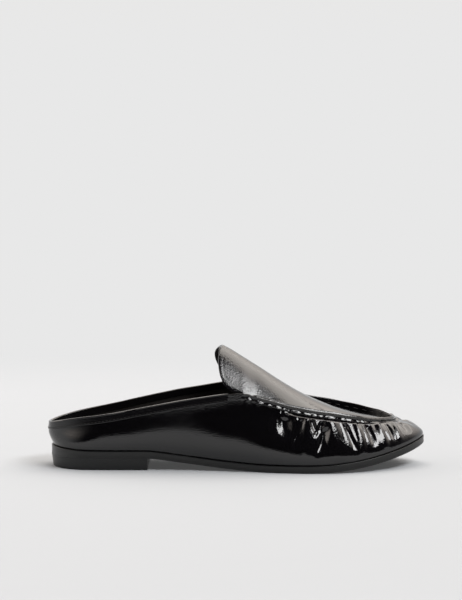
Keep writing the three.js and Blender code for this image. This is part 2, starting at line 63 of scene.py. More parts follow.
# %% Lengths in millimetres
SOLE_LENGTH = 263
BALL_WIDTH = 88
HEEL_WIDTH = 58
TOE_SWING = 8
SOLE_THICKNESS = 5
HEEL_LIFT = 8.2
SEAT_RISE = 1.7
SEAT_CURL = 40
TOE_SPRING = 15
HEEL_LENGTH = 68.4
HEEL_TAPER = 1.1
BREAST_HOLLOW = 3.5
BACK_HEIGHT = 30.4
THROAT_HEIGHT = 54
TOE_HEIGHT = 32.5
TAB_HEIGHT = 84.8
MEDIAL_RISE = 2.3
COLLAR_WIDTH = 57
APRON_WIDTH = 65
BACK_OVERHANG = 1.8
TOE_INSET = 18.5
FEATHER_INSET = 1.2
SEAM_LIP = 4.5
UPPER_WALL = 2
EDGE_WALL = 1.4
APRON_WALL = 1.7
TAB_REACH = 13
INNER_LOBE = 4.8
OUTER_LOBE = 2.2
TAB_CORNER = 4.2
BINDING_WIDTH = 5
BINDING_TUCK = 8.7
INSOLE_THICKNESS = 2.4
THROAT_AT = 0.505
LIP_LEFT_AT_TOE = 0.72
CREST_FALL = 2.1
TAB_SIDE_SLOPE = 0.17
CROWN_FOOT = 0.84
THROAT_X = THROAT_AT * SOLE_LENGTH
SEAM_TIP_X = SOLE_LENGTH - FEATHER_INSET - TOE_INSET
ORIGIN_X = HEEL_LENGTH / 2
GAP = 0.3

# %% Lines along the last
# Columns: share of the length, outer half width, inner half width, toe swing
OUTLINE = np.array([
    [0.00, 0.483, 0.483, 0.00], [0.10, 0.493, 0.493, 0.00], [0.20, 0.505, 0.497, 0.00],
    [0.30, 0.475, 0.430, 0.00], [0.40, 0.431, 0.345, 0.00], [0.50, 0.429, 0.339, 0.00],
    [0.58, 0.462, 0.396, 0.00], [0.66, 0.502, 0.466, 0.05], [0.74, 0.517, 0.491, 0.22],
    [0.82, 0.492, 0.439, 0.50], [0.90, 0.452, 0.372, 0.80], [1.00, 0.392, 0.305, 1.00],
])
# Columns: share of the way from the breast to the tread, share of the heel lift left
WAIST = np.array([
    [0.00, 1.00], [0.10, 0.90], [0.24, 0.71], [0.43, 0.47], [0.65, 0.22], [0.84, 0.06],
    [1.00, 0.00],
])
# Columns: share of the length, half width of the top edge
TOP_OUTLINE = np.array([
    [0.00, 0.474], [0.10, 0.479], [0.20, 0.490], [0.30, 0.488], [0.40, 0.470],
    [0.50, 0.479], [0.58, 0.493], [0.66, 0.495], [0.74, 0.477], [0.82, 0.438],
    [0.88, 0.408], [0.95, 0.362],
])
# Columns: share of the length, rise behind the throat, height left ahead of it,
# how much of the inner side's extra height there is
TOP_PROFILE = np.array([
    [-0.007, 0.000, 1.000, 0.00], [0.022, 0.084, 1.000, 0.00],
    [0.075, 0.207, 1.000, 0.05], [0.129, 0.295, 1.000, 0.25],
    [0.183, 0.396, 1.000, 0.45], [0.237, 0.515, 1.000, 0.65],
    [0.290, 0.630, 1.000, 0.75], [0.344, 0.744, 1.000, 0.80],
    [0.398, 0.840, 1.000, 0.80], [0.451, 0.930, 1.000, 0.85],
    [0.505, 1.000, 1.000, 0.90], [0.559, 1.000, 0.840, 1.00],
    [0.612, 1.000, 0.665, 1.00], [0.667, 1.000, 0.505, 1.00],
    [0.720, 1.000, 0.392, 1.00], [0.774, 1.000, 0.280, 1.00],
    [0.828, 1.000, 0.155, 1.00], [0.881, 1.000, 0.045, 0.80],
    [0.924, 1.000, 0.000, 0.00],
])
# Columns: share of the length, swell of the wall, how flat it turns in, tuck of the seam
WALL_PROFILE = np.array([
    [0.00, 0.020, 0.00, 0.00], [0.15, 0.036, 0.00, 0.00], [0.40, 0.054, 0.00, 0.00],
    [0.48, 0.070, 0.10, 0.10], [0.56, 0.072, 0.20, 0.45], [0.66, 0.064, 0.22, 0.60],
    [0.76, 0.056, 0.20, 0.60], [0.84, 0.048, 0.22, 0.60], [0.90, 0.044, 0.30, 0.60],
    [0.95, 0.040, 0.52, 0.60], [1.00, 0.038, 1.08, 0.60],
])
# Columns: share of the length, crest of the apron from the toe's height to the tab's
CREST_PROFILE = np.array([
    [0.420, 1.070], [0.456, 1.000], [0.478, 0.943], [0.505, 0.859], [0.559, 0.688],
    [0.612, 0.514], [0.667, 0.350], [0.720, 0.223], [0.774, 0.122], [0.828, 0.052],
    [0.881, 0.002], [0.924, -0.060],
])


def lerp(a, b, t):
    """The value a share t of the way from a to b."""
    return a + (b - a) * t


def ease(x, start, end):
    """0 before start, 1 after end and 3t^2 - 2t^3 between them."""
    t = np.clip((x - start) / (end - start), 0, 1)
    return t * t * (3 - 2 * t)


def through(table, column):
    """A cubic line through one column. Its slope at a row is the harmonic mean of the
    two chords beside it, or 0 where they turn, so it never overshoots the rows."""
    xs, ys = table[:, 0], table[:, column]
    chords = np.diff(ys) / np.diff(xs)
    before, after = chords[:-1], chords[1:]
    same = before * after > 0
    mean = 2 * before * after / np.where(same, before + after, 1)
    slopes = np.concatenate([chords[:1], np.where(same, mean, 0), chords[-1:]])

    def line(at):
        x = np.clip(at, xs[0], xs[-1])
        i = np.clip(np.searchsorted(xs, x, side="right") - 1, 0, len(xs) - 2)
        span = xs[i + 1] - xs[i]
        t = (x - xs[i]) / span
        s = 1 - t
        return (ys[i] * (1 + 2 * t) * s * s + slopes[i] * span * t * s * s
                + ys[i + 1] * (1 + 2 * s) * t * t - slopes[i + 1] * span * s * t * t)

    return line


outer_half, inner_half, swing = (through(OUTLINE, c) for c in (1, 2, 3))
lift = through(WAIST, 1)
top_half = through(TOP_OUTLINE, 1)
rear, front, inner_rise = (through(TOP_PROFILE, c) for c in (1, 2, 3))
swell, shoulder, tuck = (through(WALL_PROFILE, c) for c in (1, 2, 3))
crest = through(CREST_PROFILE, 1)
print("half widths at the ball", round(float(outer_half(0.66)), 3), round(float(inner_half(0.66)), 3))

# %% [markdown]
# ## The sole's lines
#
# Seen from above, the sole is a long loop with a round back and a squarer toe. Seen from
# the side, its underside is flat at the ball, arched under the waist, level under the
# heel and sprung up at the toe. Each of these is a plain function of the distance from
# the back, so any piece can ask where the sole is.

# %% The sole as functions


def round_ends(x, back, front_end, back_round, front_round, squareness):
    """0 at both ends of a loop and 1 along its sides: the root of one minus a share
    squared at the back, and of one minus a share to the power of squareness in front."""
    b = np.clip(1 - (x - back) / back_round, 0, 1)
    f = np.clip(1 - (front_end - x) / front_round, 0, 1)
    return np.sqrt(1 - b ** 2) * np.sqrt(1 - f ** squareness)


def sole_y(x, side):
    """The sole's edge on one side: toe swing plus the half width, rounded at the ends."""
    at = x / SOLE_LENGTH
    width = lerp(HEEL_WIDTH, BALL_WIDTH, ease(at, 0.2, 0.62))
    half = width * np.where(side < 0, outer_half(at), inner_half(at))
    ends = round_ends(x, 0, SOLE_LENGTH, 0.105 * SOLE_LENGTH, 0.225 * SOLE_LENGTH, 2.4)
    return TOE_SWING * swing(at) + side * half * ends


def sole_under(x):
    """Heel lift that fades along the waist, plus the toe spring squared up to the tip."""
    in_waist = (x - HEEL_LENGTH) / (0.58 * SOLE_LENGTH - HEEL_LENGTH)
    in_toe = np.maximum(0, (x - 0.68 * SOLE_LENGTH) / (0.32 * SOLE_LENGTH))
    return HEEL_LIFT * lift(in_waist) + TOE_SPRING * in_toe ** 2


def sole_top(x):
    """The underside plus the sole's thickness, curled up a little at the very back."""
    curl = np.maximum(0, 1 - x / SEAT_CURL)
    return sole_under(x) + SOLE_THICKNESS + SEAT_RISE * curl ** 2


def outward(loop):
    """Unit normals of closed plan loops: the line from one neighbour to the next,
    turned a quarter turn to the outside."""
    along = np.roll(loop, -1, axis=0) - np.roll(loop, 1, axis=0)
    along /= np.linalg.norm(along, axis=1, keepdims=True)
    return np.stack([along[:, 1], -along[:, 0]], axis=1)


# The loop runs from the back along the outer side to the toe, and home along the inner.
TURNS = np.arange(4096) * (2 * np.pi / 4096)
SIDES = np.where(TURNS <= np.pi, -1, 1)
SHARES = (1 - np.cos(TURNS)) / 2
sole_loop = np.stack([SHARES * SOLE_LENGTH, sole_y(SHARES * SOLE_LENGTH, SIDES)], axis=1)
foot_loop = sole_loop - FEATHER_INSET * outward(sole_loop)
foot_normal = outward(foot_loop)
print("sole", np.round(np.ptp(sole_loop, axis=0), 1), "mm long and wide")

# %% [markdown]
# ## The top edge and the wall
#
# The upper's top edge is another loop, joined to the foot of the upper station by
# station. Between them the wall is a cubic curve: it leaves the sole upwards, swells,
# and at the toe turns in flat over the foot before it meets the raised seam.

# %% The top edge and the wall as functions


def top_z(x, side):
    """Height of the top edge: up from the back to the throat, down from it to the toe."""
    at = x / SOLE_LENGTH
    z = lerp(BACK_HEIGHT, THROAT_HEIGHT, rear(at)) + (TOE_HEIGHT - THROAT_HEIGHT) * (1 - front(at))
    return z + np.where(side < 0, 0, MEDIAL_RISE * inner_rise(at))


def lip_height(x):
    """The raised seam's height, which gets less towards the toe."""
    return SEAM_LIP * lerp(1, LIP_LEFT_AT_TOE, ease(x, 0.8 * SOLE_LENGTH, SEAM_TIP_X))


slide = (-(BACK_OVERHANG + FEATHER_INSET) * (1 - ease(SHARES, 0, 0.17))
         - TOE_INSET * ease(SHARES, 0.5, 1))
top_x = foot_loop[:, 0] + slide
top_at = top_x / SOLE_LENGTH
top_width = lerp(COLLAR_WIDTH, APRON_WIDTH, ease(top_at, 0.2, 0.5))
top_ends = round_ends(top_x, -BACK_OVERHANG, SEAM_TIP_X, 0.17 * SOLE_LENGTH, 0.2 * SOLE_LENGTH, 2.6)
top_y = TOE_SWING * swing(top_at) + SIDES * top_width * top_half(top_at) * top_ends
top_loop = np.stack([top_x, top_y, top_z(top_x, SIDES)], axis=1)
top_normal = outward(top_loop[:, :2])


def at_turns(turns, table):
    """A table that holds one row for each of TURNS, read at other turns of the loop."""
    columns = [np.interp(turns, TURNS, column, period=2 * np.pi) for column in table.T]
    return np.stack(columns, axis=-1)


def wall(turns, rows):
    """The outer wall: for each turn a cubic Bezier curve from the foot to the foot of
    the raised seam, read at each share in rows. Returns turns x rows x 3."""
    plan = at_turns(turns, foot_loop)
    side_way = at_turns(turns, foot_normal)
    side_way /= np.linalg.norm(side_way, axis=1, keepdims=True)
    out = np.column_stack([side_way, np.zeros(len(turns))])
    up = np.array([0, 0, 1.0])
    at = plan[:, 0] / SOLE_LENGTH
    foot = np.column_stack([plan, sole_top(plan[:, 0]) + GAP])
    lip_foot = lip_foot_at(turns)
    height = (lip_foot - foot)[:, 2:]
    reach = np.hypot(*(foot - lip_foot)[:, :2].T)
    turned = shoulder(at)
    low = foot + up * 0.38 * height + out * (swell(at) * BALL_WIDTH)[:, None]
    high = (lip_foot + out * lerp(0.8, 0.6 * reach, turned)[:, None]
            - up * height * lerp(0.36, 0.07, turned)[:, None])
    t = rows[None, :, None]
    s = 1 - t
    corners = [p[:, None, :] for p in (foot, low, high, lip_foot)]
    weights = (s ** 3, 3 * s * s * t, 3 * s * t * t, t ** 3)
    return sum(w * p for w, p in zip(weights, corners))


def lip_foot_at(turns):
    """The foot of the raised seam: the lip's height under the top edge, and a little
    to the outside in the quarters or to the inside round the toe."""
    top = at_turns(turns, top_loop)
    side_way = at_turns(turns, foot_normal)
    side_way /= np.linalg.norm(side_way, axis=1, keepdims=True)
    at = at_turns(turns, foot_loop)[:, 0] / SOLE_LENGTH
    lean = lerp(0.3, -0.4, tuck(at))
    point = top - np.array([0, 0, 1.0]) * lip_height(top[:, 0])[:, None]
    point[:, :2] += side_way * lean[:, None]
    return point


print("top edge", np.round([top_loop[:, 2].min(), top_loop[:, 2].max()], 1), "mm high")

# %% [markdown]
# ## From a grid of points to a piece
#
# Every surface below is a grid: one direction runs round or along the shoe and the other
# across the piece. Four neighbours make a face. Where a direction closes on itself its
# last points join its first, and an open end is capped by a strip across its section.

# %% Grid to mesh


def row_frame(points):
    """Millimetres from the back of the sole to metres from the heel's centre."""
    return (np.asarray(points, float).reshape(-1, 3) - [ORIGIN_X, 0, 0]) / 1000


def grid_faces(rows, columns, ring_rows, ring_columns):
    """Quads between the neighbours of a rows x columns grid, as point numbers."""
    i = np.arange(rows if ring_rows else rows - 1)[:, None]
    j = np.arange(columns if ring_columns else columns - 1)[None, :]
    i2, j2 = (i + 1) % rows, (j + 1) % columns
    corners = [i * columns + j, i2 * columns + j, i2 * columns + j2, i * columns + j2]
    return np.stack([np.broadcast_to(c, np.broadcast(i, j).shape) for c in corners], -1).reshape(-1, 4)


def end_caps(rows, columns):
    """Quads that close the first and last row, point j joined to point n - 1 - j."""
    j = np.arange(columns // 2 - 1)
    strip = np.stack([j, j + 1, columns - 2 - j, columns - 1 - j], -1)
    return np.vstack([strip[:, ::-1], strip + (rows - 1) * columns])


def signed_volume(points, quads):
    """Six times the volume inside: the sum over all triangles of a . (b x c)."""
    a, b, c, d = (points[quads[:, k]] for k in range(4))
    return float(np.einsum("ij,ij->", a, np.cross(b, c)) + np.einsum("ij,ij->", a, np.cross(c, d)))


def make_piece(name, grid, ring_rows=False, sharp=None, merge=False):
    """A mesh object from a grid whose columns close on themselves. Where its rows don't,
    the first and last section are capped."""
    rows, columns = grid.shape[:2]
    points = row_frame(grid)
    quads = grid_faces(rows, columns, ring_rows, True)
    if not ring_rows:
        quads = np.vstack([quads, end_caps(rows, columns)])
    if signed_volume(points, quads) < 0:
        quads = quads[:, ::-1]
    return put_in(name, points, quads, sharp, merge)


def put_in(name, points, quads, sharp=None, merge=False):
    """Writes points and faces into a new mesh. Faces meet smoothly unless they turn by
    more than sharp degrees, and merge joins points that lie on each other."""
    mesh = bpy.data.meshes.new(name)
    mesh.from_pydata(points.tolist(), [], quads.tolist())
    mesh.update()
    if merge:
        shell = bmesh.new()
        shell.from_mesh(mesh)
        bmesh.ops.remove_doubles(shell, verts=shell.verts, dist=2e-6)
        bmesh.ops.dissolve_degenerate(shell, edges=shell.edges, dist=1e-7)
        shell.to_mesh(mesh)
        shell.free()
    mesh.shade_smooth()
    if sharp:
        mesh.set_sharp_from_angle(angle=math.radians(sharp))
    piece = bpy.data.objects.new(name, mesh)
    bpy.context.scene.collection.objects.link(piece)
    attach(piece, "root")
    print(name, len(mesh.vertices), "points", len(mesh.polygons), "faces")
    return piece


def grid_normals(grid, ring_rows):
    """Unit normals of a grid: the cross product of its two directions of change."""
    if ring_rows:
        along = np.roll(grid, -1, axis=0) - np.roll(grid, 1, axis=0)
    else:
        along = np.gradient(grid, axis=0)
    across = np.gradient(grid, axis=1)
    normal = np.cross(along, across)
    return normal / np.linalg.norm(normal, axis=2, keepdims=True)


# %% [markdown]
# ## The gathered vamp
#
# A moccasin's vamp is longer than the apron it is sewn to, so every stitch of the raised
# seam draws in a little more leather than there is room for. It stands up in folds that
# start pinched at the seam, lean over one another and run out down the wall. They could
# be left to a noise texture, but their places are what makes the shoe this shoe. So each
# main fold has a row of its own here, and only the small gathers at the stitches repeat.

# %% The folds
# Columns, in millimetres: place along the seam from the outer throat, sideways lean per
# millimetre down, where it starts and ends below the seam, half width, height (ridges
# stand proud, troughs are drawn in)
OUTER_FOLDS = np.array([
    [31.5, -0.05, 5, 22, 6.0, -1.30],
    [38.6, 0.10, 3, 11, 2.0, 0.40],
    [44.9, -0.41, 4, 29, 2.6, -1.00],
    [47.5, -0.24, 2, 31, 2.8, 0.90],
    [49.4, 0.10, 2, 17, 2.3, -1.20],
    [59.8, -0.64, 2, 18, 2.4, -1.20],
    [61.5, -0.46, 9, 33, 4.0, -2.00],
    [62.6, -0.08, 2, 36, 6.8, 2.20],
    [72.0, 0.00, 1, 10, 2.2, -0.80],
    [73.2, -0.14, 3, 30, 2.6, -1.40],
    [81.6, -0.30, 2, 30, 3.2, 1.40],
    [82.6, -0.30, 1, 9, 1.8, -0.70],
    [89.5, -0.33, 3, 26, 3.2, -1.50],
    [98.0, -0.40, 2, 26, 3.2, 1.40],
    [99.0, -0.30, 10, 20, 1.6, -0.50],
    [106.0, -0.50, 3, 21, 2.2, -1.10],
    [112.0, -0.55, 2, 22, 2.8, 1.10],
    [119.5, -0.50, 3, 19, 3.4, -1.00],
    [124.5, -0.60, 7, 24, 7.0, 0.70],
])
TOE_FOLDS = np.array([
    [130.0, 0.05, 2, 14, 2.6, -0.50],
    [135.5, 0.25, 3, 18, 3.0, -0.60],
])
SEAM_RUN = 251.4
STITCH_PITCH = 6.5
PUFF = 3.0
GATHER_REACH = 3.5
# The bead at the seam's foot: shares of the seam's height, and how far it stands out there
BEAD_UP = np.array([0, 0.05, 0.14, 0.2, 0.44, 0.52, 0.70, 0.84, 1])
BEAD_OUT = np.array([0, 0.6, 0.85, 0.8, 0.1, -0.1, -0.1, 0, 0])
# Each ply's top edge, in millimetres in from its outer face and up from its crown's foot
VAMP_CROWN = np.array([
    [0, 0], [0, 0.36], [0.06, 0.46], [0.6, 0.5], [1.3, 0.48], [1.4, 0.4], [1.4, 0],
])
APRON_CROWN = np.array([
    [0, 0], [0, 0.5], [0.08, 0.62], [0.56, 1.5], [0.75, 1.66], [1.05, 1.66],
    [1.4, 1.3], [1.64, 0.6], [1.7, 0],
])

# The inner side repeats the outer side's folds, each a little to one side of its twin.
inner_folds = OUTER_FOLDS * [-1, -1, 1, 1, 1, 1] + [SEAM_RUN, 0, 0, 0, 0, 0]
inner_folds[:, 0] += 2.2 * np.sin(np.arange(len(OUTER_FOLDS)) * 2.4)
FOLDS = np.vstack([OUTER_FOLDS, TOE_FOLDS, inner_folds])


def folds(along, below):
    """Height of the folds at a place along the seam and a depth below it. Each fold is
    (1 - u^2)^2 across, where u is the sideways distance over the half width. It sets in
    over its first 4 mm. A trough runs out evenly, a ridge first sinks and then ends."""
    height = np.zeros(np.broadcast(along, below).shape)
    for place, lean, start, end, half, rise in FOLDS:
        u = (along - place - lean * below) / half
        across = np.clip(1 - u * u, 0, 1) ** 2
        last = lerp(start, end, 0.78)
        sink = ease(below, start + 2, last)
        stop = ease(below, last, end)
        left = (1 - 0.6 * sink) * (1 - stop) if rise > 0 else 1 - ease(below, lerp(start, end, 0.4), end)
        height += rise * across * ease(below, start - 1.5, start + 2.5) * left
    return height


def from_ends(along):
    """Distance from the nearer end of the seam, at the throat."""
    return np.minimum(along, SEAM_RUN - along)


def pull(along):
    """|cos| with a point at each stitch, whose pitch varies a little as a hand's does."""
    return np.abs(np.cos(np.pi * along / STITCH_PITCH + 0.5 * np.sin(along * 0.23)))


def fullness(along, below):
    """The vamp's puff: nothing at the seam, PUFF 3 mm below it, run out 23 mm further down.
    It is largest at the sides and a third of that over the toes."""
    over_toes = np.exp(-((along - SEAM_RUN / 2) / 14) ** 2)
    zone = ease(from_ends(along), 22, 48) * (1 - 0.65 * over_toes)
    return PUFF * zone * ease(below, -0.5, 2.8) * (1 - ease(below, 2.5, 26))


def gathers(along, below):
    """The small pinches, one to a stitch: ridges are round and the creases between them
    sharp, fading as exp(-below / reach). They are highest by the throat, where there are
    no folds to take up the fullness."""
    to_end = from_ends(along)
    rise = 0.3 + 0.55 * ease(-to_end, -42, -24)
    return rise * ease(to_end, -1, 4) * (pull(along) ** 0.7 - 0.75) * np.exp(-below / GATHER_REACH)


def lip_wave(along):
    """How far the raised seam wanders sideways and up and down between its stitches, and
    how much of its bead there is. The stitches are pulled hardest by the throat."""
    to_end = from_ends(along)
    zone = ease(to_end, 0, 5)
    beat = pull(along) ** 0.8 - 0.5
    strong = 0.12 + 1.5 * ease(-to_end, -34, -18)
    slow = 0.22 * np.sin(along * 0.52) + 0.12 * np.sin(along * 1.13)
    return zone * strong * beat, 0.6 * zone * np.sin(along * 0.31), zone * (0.85 + slow)


print(len(FOLDS), "folds along", SEAM_RUN, "mm of seam")

# %% [markdown]
# ## The upper
#
# The quarters and the vamp are one piece of calf, lined, closed to a ring round the foot.
# A solid wall could be made with a modifier, but the wall is skived from 2 mm down to
# 1.4 mm at its edge, so outer and inner face are both worked out. Stations lie half a
# millimetre apart where the leather is gathered and 2.5 mm apart round the plain heel.

# %% Stations round the shoe


def place_stations(count, fine, coarse):
    """Turns of the loop whose spacing is fine ahead of the throat and coarse behind it:
    equal steps of the summed density of stations along the top edge."""
    step = np.linalg.norm(np.roll(foot_loop, -1, axis=0) - foot_loop, axis=1)
    density = lerp(1 / coarse, 1 / fine, ease(top_loop[:, 0], THROAT_X - 18, THROAT_X + 4))
    total = np.concatenate([[0], np.cumsum(step * density)])
    return np.interp(np.arange(count) * total[-1] / count, total, np.append(TURNS, 2 * np.pi))


turns = place_stations(720, 0.5, 2.5)
rows = np.concatenate([np.linspace(0, 0.25, 12)[:-1], np.linspace(0.25, 1, 53)])
outer_wall = wall(turns, rows)
lip_foot = lip_foot_at(turns)
top_edge = at_turns(turns, top_loop)
edge_out = np.column_stack([outward(top_edge[:, :2]), np.zeros(len(turns))])
steps = np.linalg.norm(np.roll(lip_foot, -1, axis=0) - lip_foot, axis=1)
run = np.concatenate([[0], np.cumsum(steps[:-1])])
throat_station = int(np.argmax(top_edge[:, 0] > THROAT_X))
seam_place = run - run[throat_station]
ahead = top_edge[:, 0] > THROAT_X
print("stations", len(turns), "of which ahead of the throat", int(ahead.sum()))
print("seam run", round(float(np.ptp(seam_place[ahead])), 1), "mm")

# %% Outer and inner face of the upper
wall_normal = grid_normals(outer_wall, True)
strides = np.linalg.norm(np.diff(outer_wall[:, ::-1], axis=1), axis=2)
below = np.concatenate([np.zeros((len(turns), 1)), np.cumsum(strides, axis=1)], axis=1)[:, ::-1]
along = seam_place[:, None]
relief = folds(along, below) + fullness(along, below) + gathers(along, below)
relief *= ease(outer_wall[..., 2] - sole_top(outer_wall[..., 0]), 0.3, 4)
relief *= ahead[:, None]
outer_face = outer_wall + wall_normal * relief[..., None]
thickness = lerp(UPPER_WALL, EDGE_WALL, ease(rows, 0.62, 1))
inner_face = outer_wall - wall_normal * thickness[None, :, None]
inner_face[:, 0, 2] = outer_wall[:, 0, 2]


def lip_points(turn_top, turn_foot, out, wave, rows_up, inset, plain=False):
    """The raised seam's face from its foot to its top, pushed out and up by the wave of
    the stitches. It bulges in a bead low down, where the vamp is gathered, and is drawn
    in above it by the thread. A plain face has neither."""
    t = rows_up[None, :, None]
    face = lerp(turn_foot[:, None, :], turn_top[:, None, :], t)
    sideways, upward, bead_size = wave
    bead = np.interp(rows_up, BEAD_UP, BEAD_OUT)
    push = (bead_size + 0.4 * sideways)[:, None] * bead[None, :] + 0.10 * sideways[:, None]
    if plain:
        push = push * 0
    face = face + out[:, None, :] * (push[..., None] - inset)
    face[..., 2] += ((0.1 if plain else 0.35) * sideways + 0.2 * upward)[:, None] * rows_up[None, :]
    return face


def crown_points(turn_top, turn_foot, out, wave, inset, profile, plain=False):
    """The top edge of one ply: a profile of distances in from its outer face and up,
    standing on the face at CROWN_FOOT of the seam's height."""
    edge = lip_points(turn_top, turn_foot, out, wave, np.full(len(profile), CROWN_FOOT), inset, plain)
    edge = edge - out[:, None, :] * profile[None, :, :1]
    edge[..., 2] += profile[:, 1]
    return edge


wave = lip_wave(seam_place)
lip_rows = np.linspace(0, 0.8, 19)[1:]
lip_outer = lip_points(top_edge, outer_face[:, -1], edge_out, wave, lip_rows, 0)
lip_crown = crown_points(top_edge, outer_face[:, -1], edge_out, wave, 0, VAMP_CROWN)
lip_inner = lip_points(top_edge, outer_face[:, -1], edge_out, wave, lip_rows[::-2], EDGE_WALL, True)
upper_grid = np.concatenate([outer_face, lip_outer, lip_crown, lip_inner, inner_face[:, ::-3]], axis=1)
upper = make_piece("upper_calf", upper_grid, ring_rows=True, sharp=60)
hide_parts("upper")

# %% [markdown]
# ## The apron and its tab
#
# The apron is the smooth plug inside the raised seam. Its edge is turned up and sewn to
# the vamp's, and behind the throat it runs on into a tab that stands up over the instep.
# It could be a flat sheet bent by a lattice, but its height is known at every place: a
# crest line down the middle that falls as a power of the distance across to the edge.

# %% The apron's height
apron_edge_plan = lip_foot_at(TURNS)[:, :2] - top_normal * (EDGE_WALL + GAP + APRON_WALL)


def edge_line(side):
    """y of the apron's turned-up edge on one side, for any x."""
    line = apron_edge_plan[(SIDES == side) & (top_loop[:, 0] > THROAT_X - 30)]
    line = line[np.argsort(line[:, 0])]
    return lambda x: np.interp(x, line[:, 0], line[:, 1])


outer_line, inner_line = edge_line(-1), edge_line(1)
APRON_TIP_X = float(apron_edge_plan[:, 0].max())


def seam_growth(x):
    """The raised seam's height as a share: none at the throat, all of it ahead."""
    return ease(x / SOLE_LENGTH, THROAT_AT, THROAT_AT + 0.045)


def apron_z(x, y):
    """The crest's height, less the drop to the edge times a power of the distance across.
    Behind the throat the edge climbs backwards with the tab."""
    row = np.maximum(x, THROAT_X)
    middle = (inner_line(row) + outer_line(row)) / 2
    half = np.maximum((inner_line(row) - outer_line(row)) / 2, 1e-6)
    side = np.where(y < middle, -1, 1)
    climb = TAB_SIDE_SLOPE * np.maximum(0, THROAT_X - x)
    edge = top_z(row, side) - lip_height(row) * seam_growth(row) + climb
    high = lerp(TOE_HEIGHT, TAB_HEIGHT, crest(x / SOLE_LENGTH))
    return high - (high - edge) * np.minimum(1, np.abs(y - middle) / half) ** CREST_FALL


def turned_edge(inward):
    """How far the top sinks at a distance in from the tab's edge: rounded over the last
    1.4 mm, where it is turned under, and drawn in along a seam 2.7 mm in."""
    rounded = 0.9 * (1 - np.sqrt(np.clip(1 - np.clip(1 - inward / 1.4, 0, 1) ** 2, 0, 1)))
    return rounded + 0.13 * np.exp(-((inward - 2.7) / 0.34) ** 2)


def apron_faces(plan, inward):
    """The apron's top over points of its plan, and its underside a wall further in along
    the normal, which comes from the height's slope over 0.4 mm each way."""
    x, y = plan[..., 0], plan[..., 1]
    top = np.stack([x, y, apron_z(x, y)], -1)
    slope_x = (apron_z(x + 0.2, y) - apron_z(x - 0.2, y)) / 0.4
    slope_y = (apron_z(x, y + 0.2) - apron_z(x, y - 0.2)) / 0.4
    normal = np.stack([-slope_x, -slope_y, np.ones_like(x)], -1)
    normal /= np.linalg.norm(normal, axis=-1, keepdims=True)
    under = top - APRON_WALL * normal
    top[..., 2] -= turned_edge(inward)
    return top, under


# %% Sections through the tab
HALF = 64
shares_out = np.sin(np.linspace(0, 1, HALF) * np.pi / 2) ** 0.8
lip_up = np.linspace(0.12, 0.78, 6)
RIM = 2 * len(lip_up) + len(APRON_CROWN)


def rim_path(top_end, under_end, out):
    """From the top's edge round to the underside's: the chord between them plus an
    outward bulge of half the wall, as a sine of the way."""
    t = np.linspace(0, 1, RIM + 2)[1:-1][None, :, None]
    return lerp(top_end[:, None], under_end[:, None], t) + out[:, None] * 0.5 * np.sin(np.pi * t)


def tab_half(base, side):
    """Half sections of the tab from its middle to its rim. Its corners draw in on a
    quarter circle, and its end has two lobes that reach back as 4 v^2 (1 - v^2)."""
    back = ((THROAT_X - base) / TAB_REACH)[:, None]
    v = shares_out[None, :]
    width = (inner_line(THROAT_X) - outer_line(THROAT_X)) / 2
    middle = (inner_line(THROAT_X) + outer_line(THROAT_X)) / 2
    half = width - TAB_CORNER * (1 - np.sqrt(np.clip(1 - back ** 2, 0, 1)))
    lobe = OUTER_LOBE if side < 0 else INNER_LOBE
    x = base[:, None] - lobe * back * 4 * v ** 2 * (1 - v ** 2)
    plan = np.stack(np.broadcast_arrays(x, middle + side * v * half), -1)
    from_side = half * (1 - v) + 1e-3
    from_end = np.maximum(base[:, None] - (THROAT_X - TAB_REACH), 0) + 1e-3
    inward = (from_side ** -3 + from_end ** -3) ** (-1 / 3)
    top, under = apron_faces(plan, inward)
    out = np.zeros((len(base), 3))
    out[:, 1] = side
    return top, rim_path(top[:, -1], under[:, -1], out), under


# %% Sections that end in the raised seam


def spine(x):
    """Where a section starts on the middle line: straight across behind the toe, and
    fanned out from ever closer points over the last 36% of the apron."""
    fan = 0.36 * (APRON_TIP_X - THROAT_X)
    reach = 0.2 * (APRON_TIP_X - THROAT_X)
    left = np.clip((APRON_TIP_X - x) / fan, 0, None)
    return np.where(x < APRON_TIP_X - fan, x, APRON_TIP_X - fan + reach * (1 - left ** (fan / reach)))


def seam_half(at, from_x):
    """Half sections that end in the turned-up edge at turns of the loop."""
    top_here = at_turns(at, top_loop)
    foot_here = lip_foot_at(at)
    out = at_turns(at, np.column_stack([top_normal, np.zeros(len(TURNS))]))
    out /= np.linalg.norm(out, axis=1, keepdims=True)
    inner_foot = foot_here - out * (EDGE_WALL + GAP + APRON_WALL)
    start = np.stack([from_x, (inner_line(from_x) + outer_line(from_x)) / 2], -1)
    v = shares_out[None, :, None]
    plan = lerp(start[:, None], inner_foot[:, None, :2], v)
    growth = seam_growth(inner_foot[:, 0])[:, None]
    reach = np.linalg.norm(inner_foot[:, :2] - start, axis=1)[:, None]
    top, under = apron_faces(plan, reach * (1 - v[..., 0]) + 9 * growth)
    place = np.interp(at, turns, seam_place)
    wave_here = lip_wave(place)
    outer_foot = foot_here - out * (EDGE_WALL + GAP)
    outer_foot[:, 2] -= APRON_WALL
    under[:, -1] = lerp(under[:, -1], outer_foot, growth)
    inner_up = lip_points(top_here, foot_here, out, wave_here, lip_up, EDGE_WALL + GAP + APRON_WALL, True)
    outer_down = lip_points(top_here, foot_here, out, wave_here, lip_up[::-1], EDGE_WALL + GAP, True)
    crown = crown_points(top_here, foot_here, out, wave_here, EDGE_WALL + GAP, APRON_CROWN, True)
    crown = crown[:, ::-1]
    lip = np.concatenate([inner_up, crown, outer_down], axis=1)
    lip = lerp(rim_path(top[:, -1], under[:, -1], out), lip, growth[..., None])
    return top, lip, under


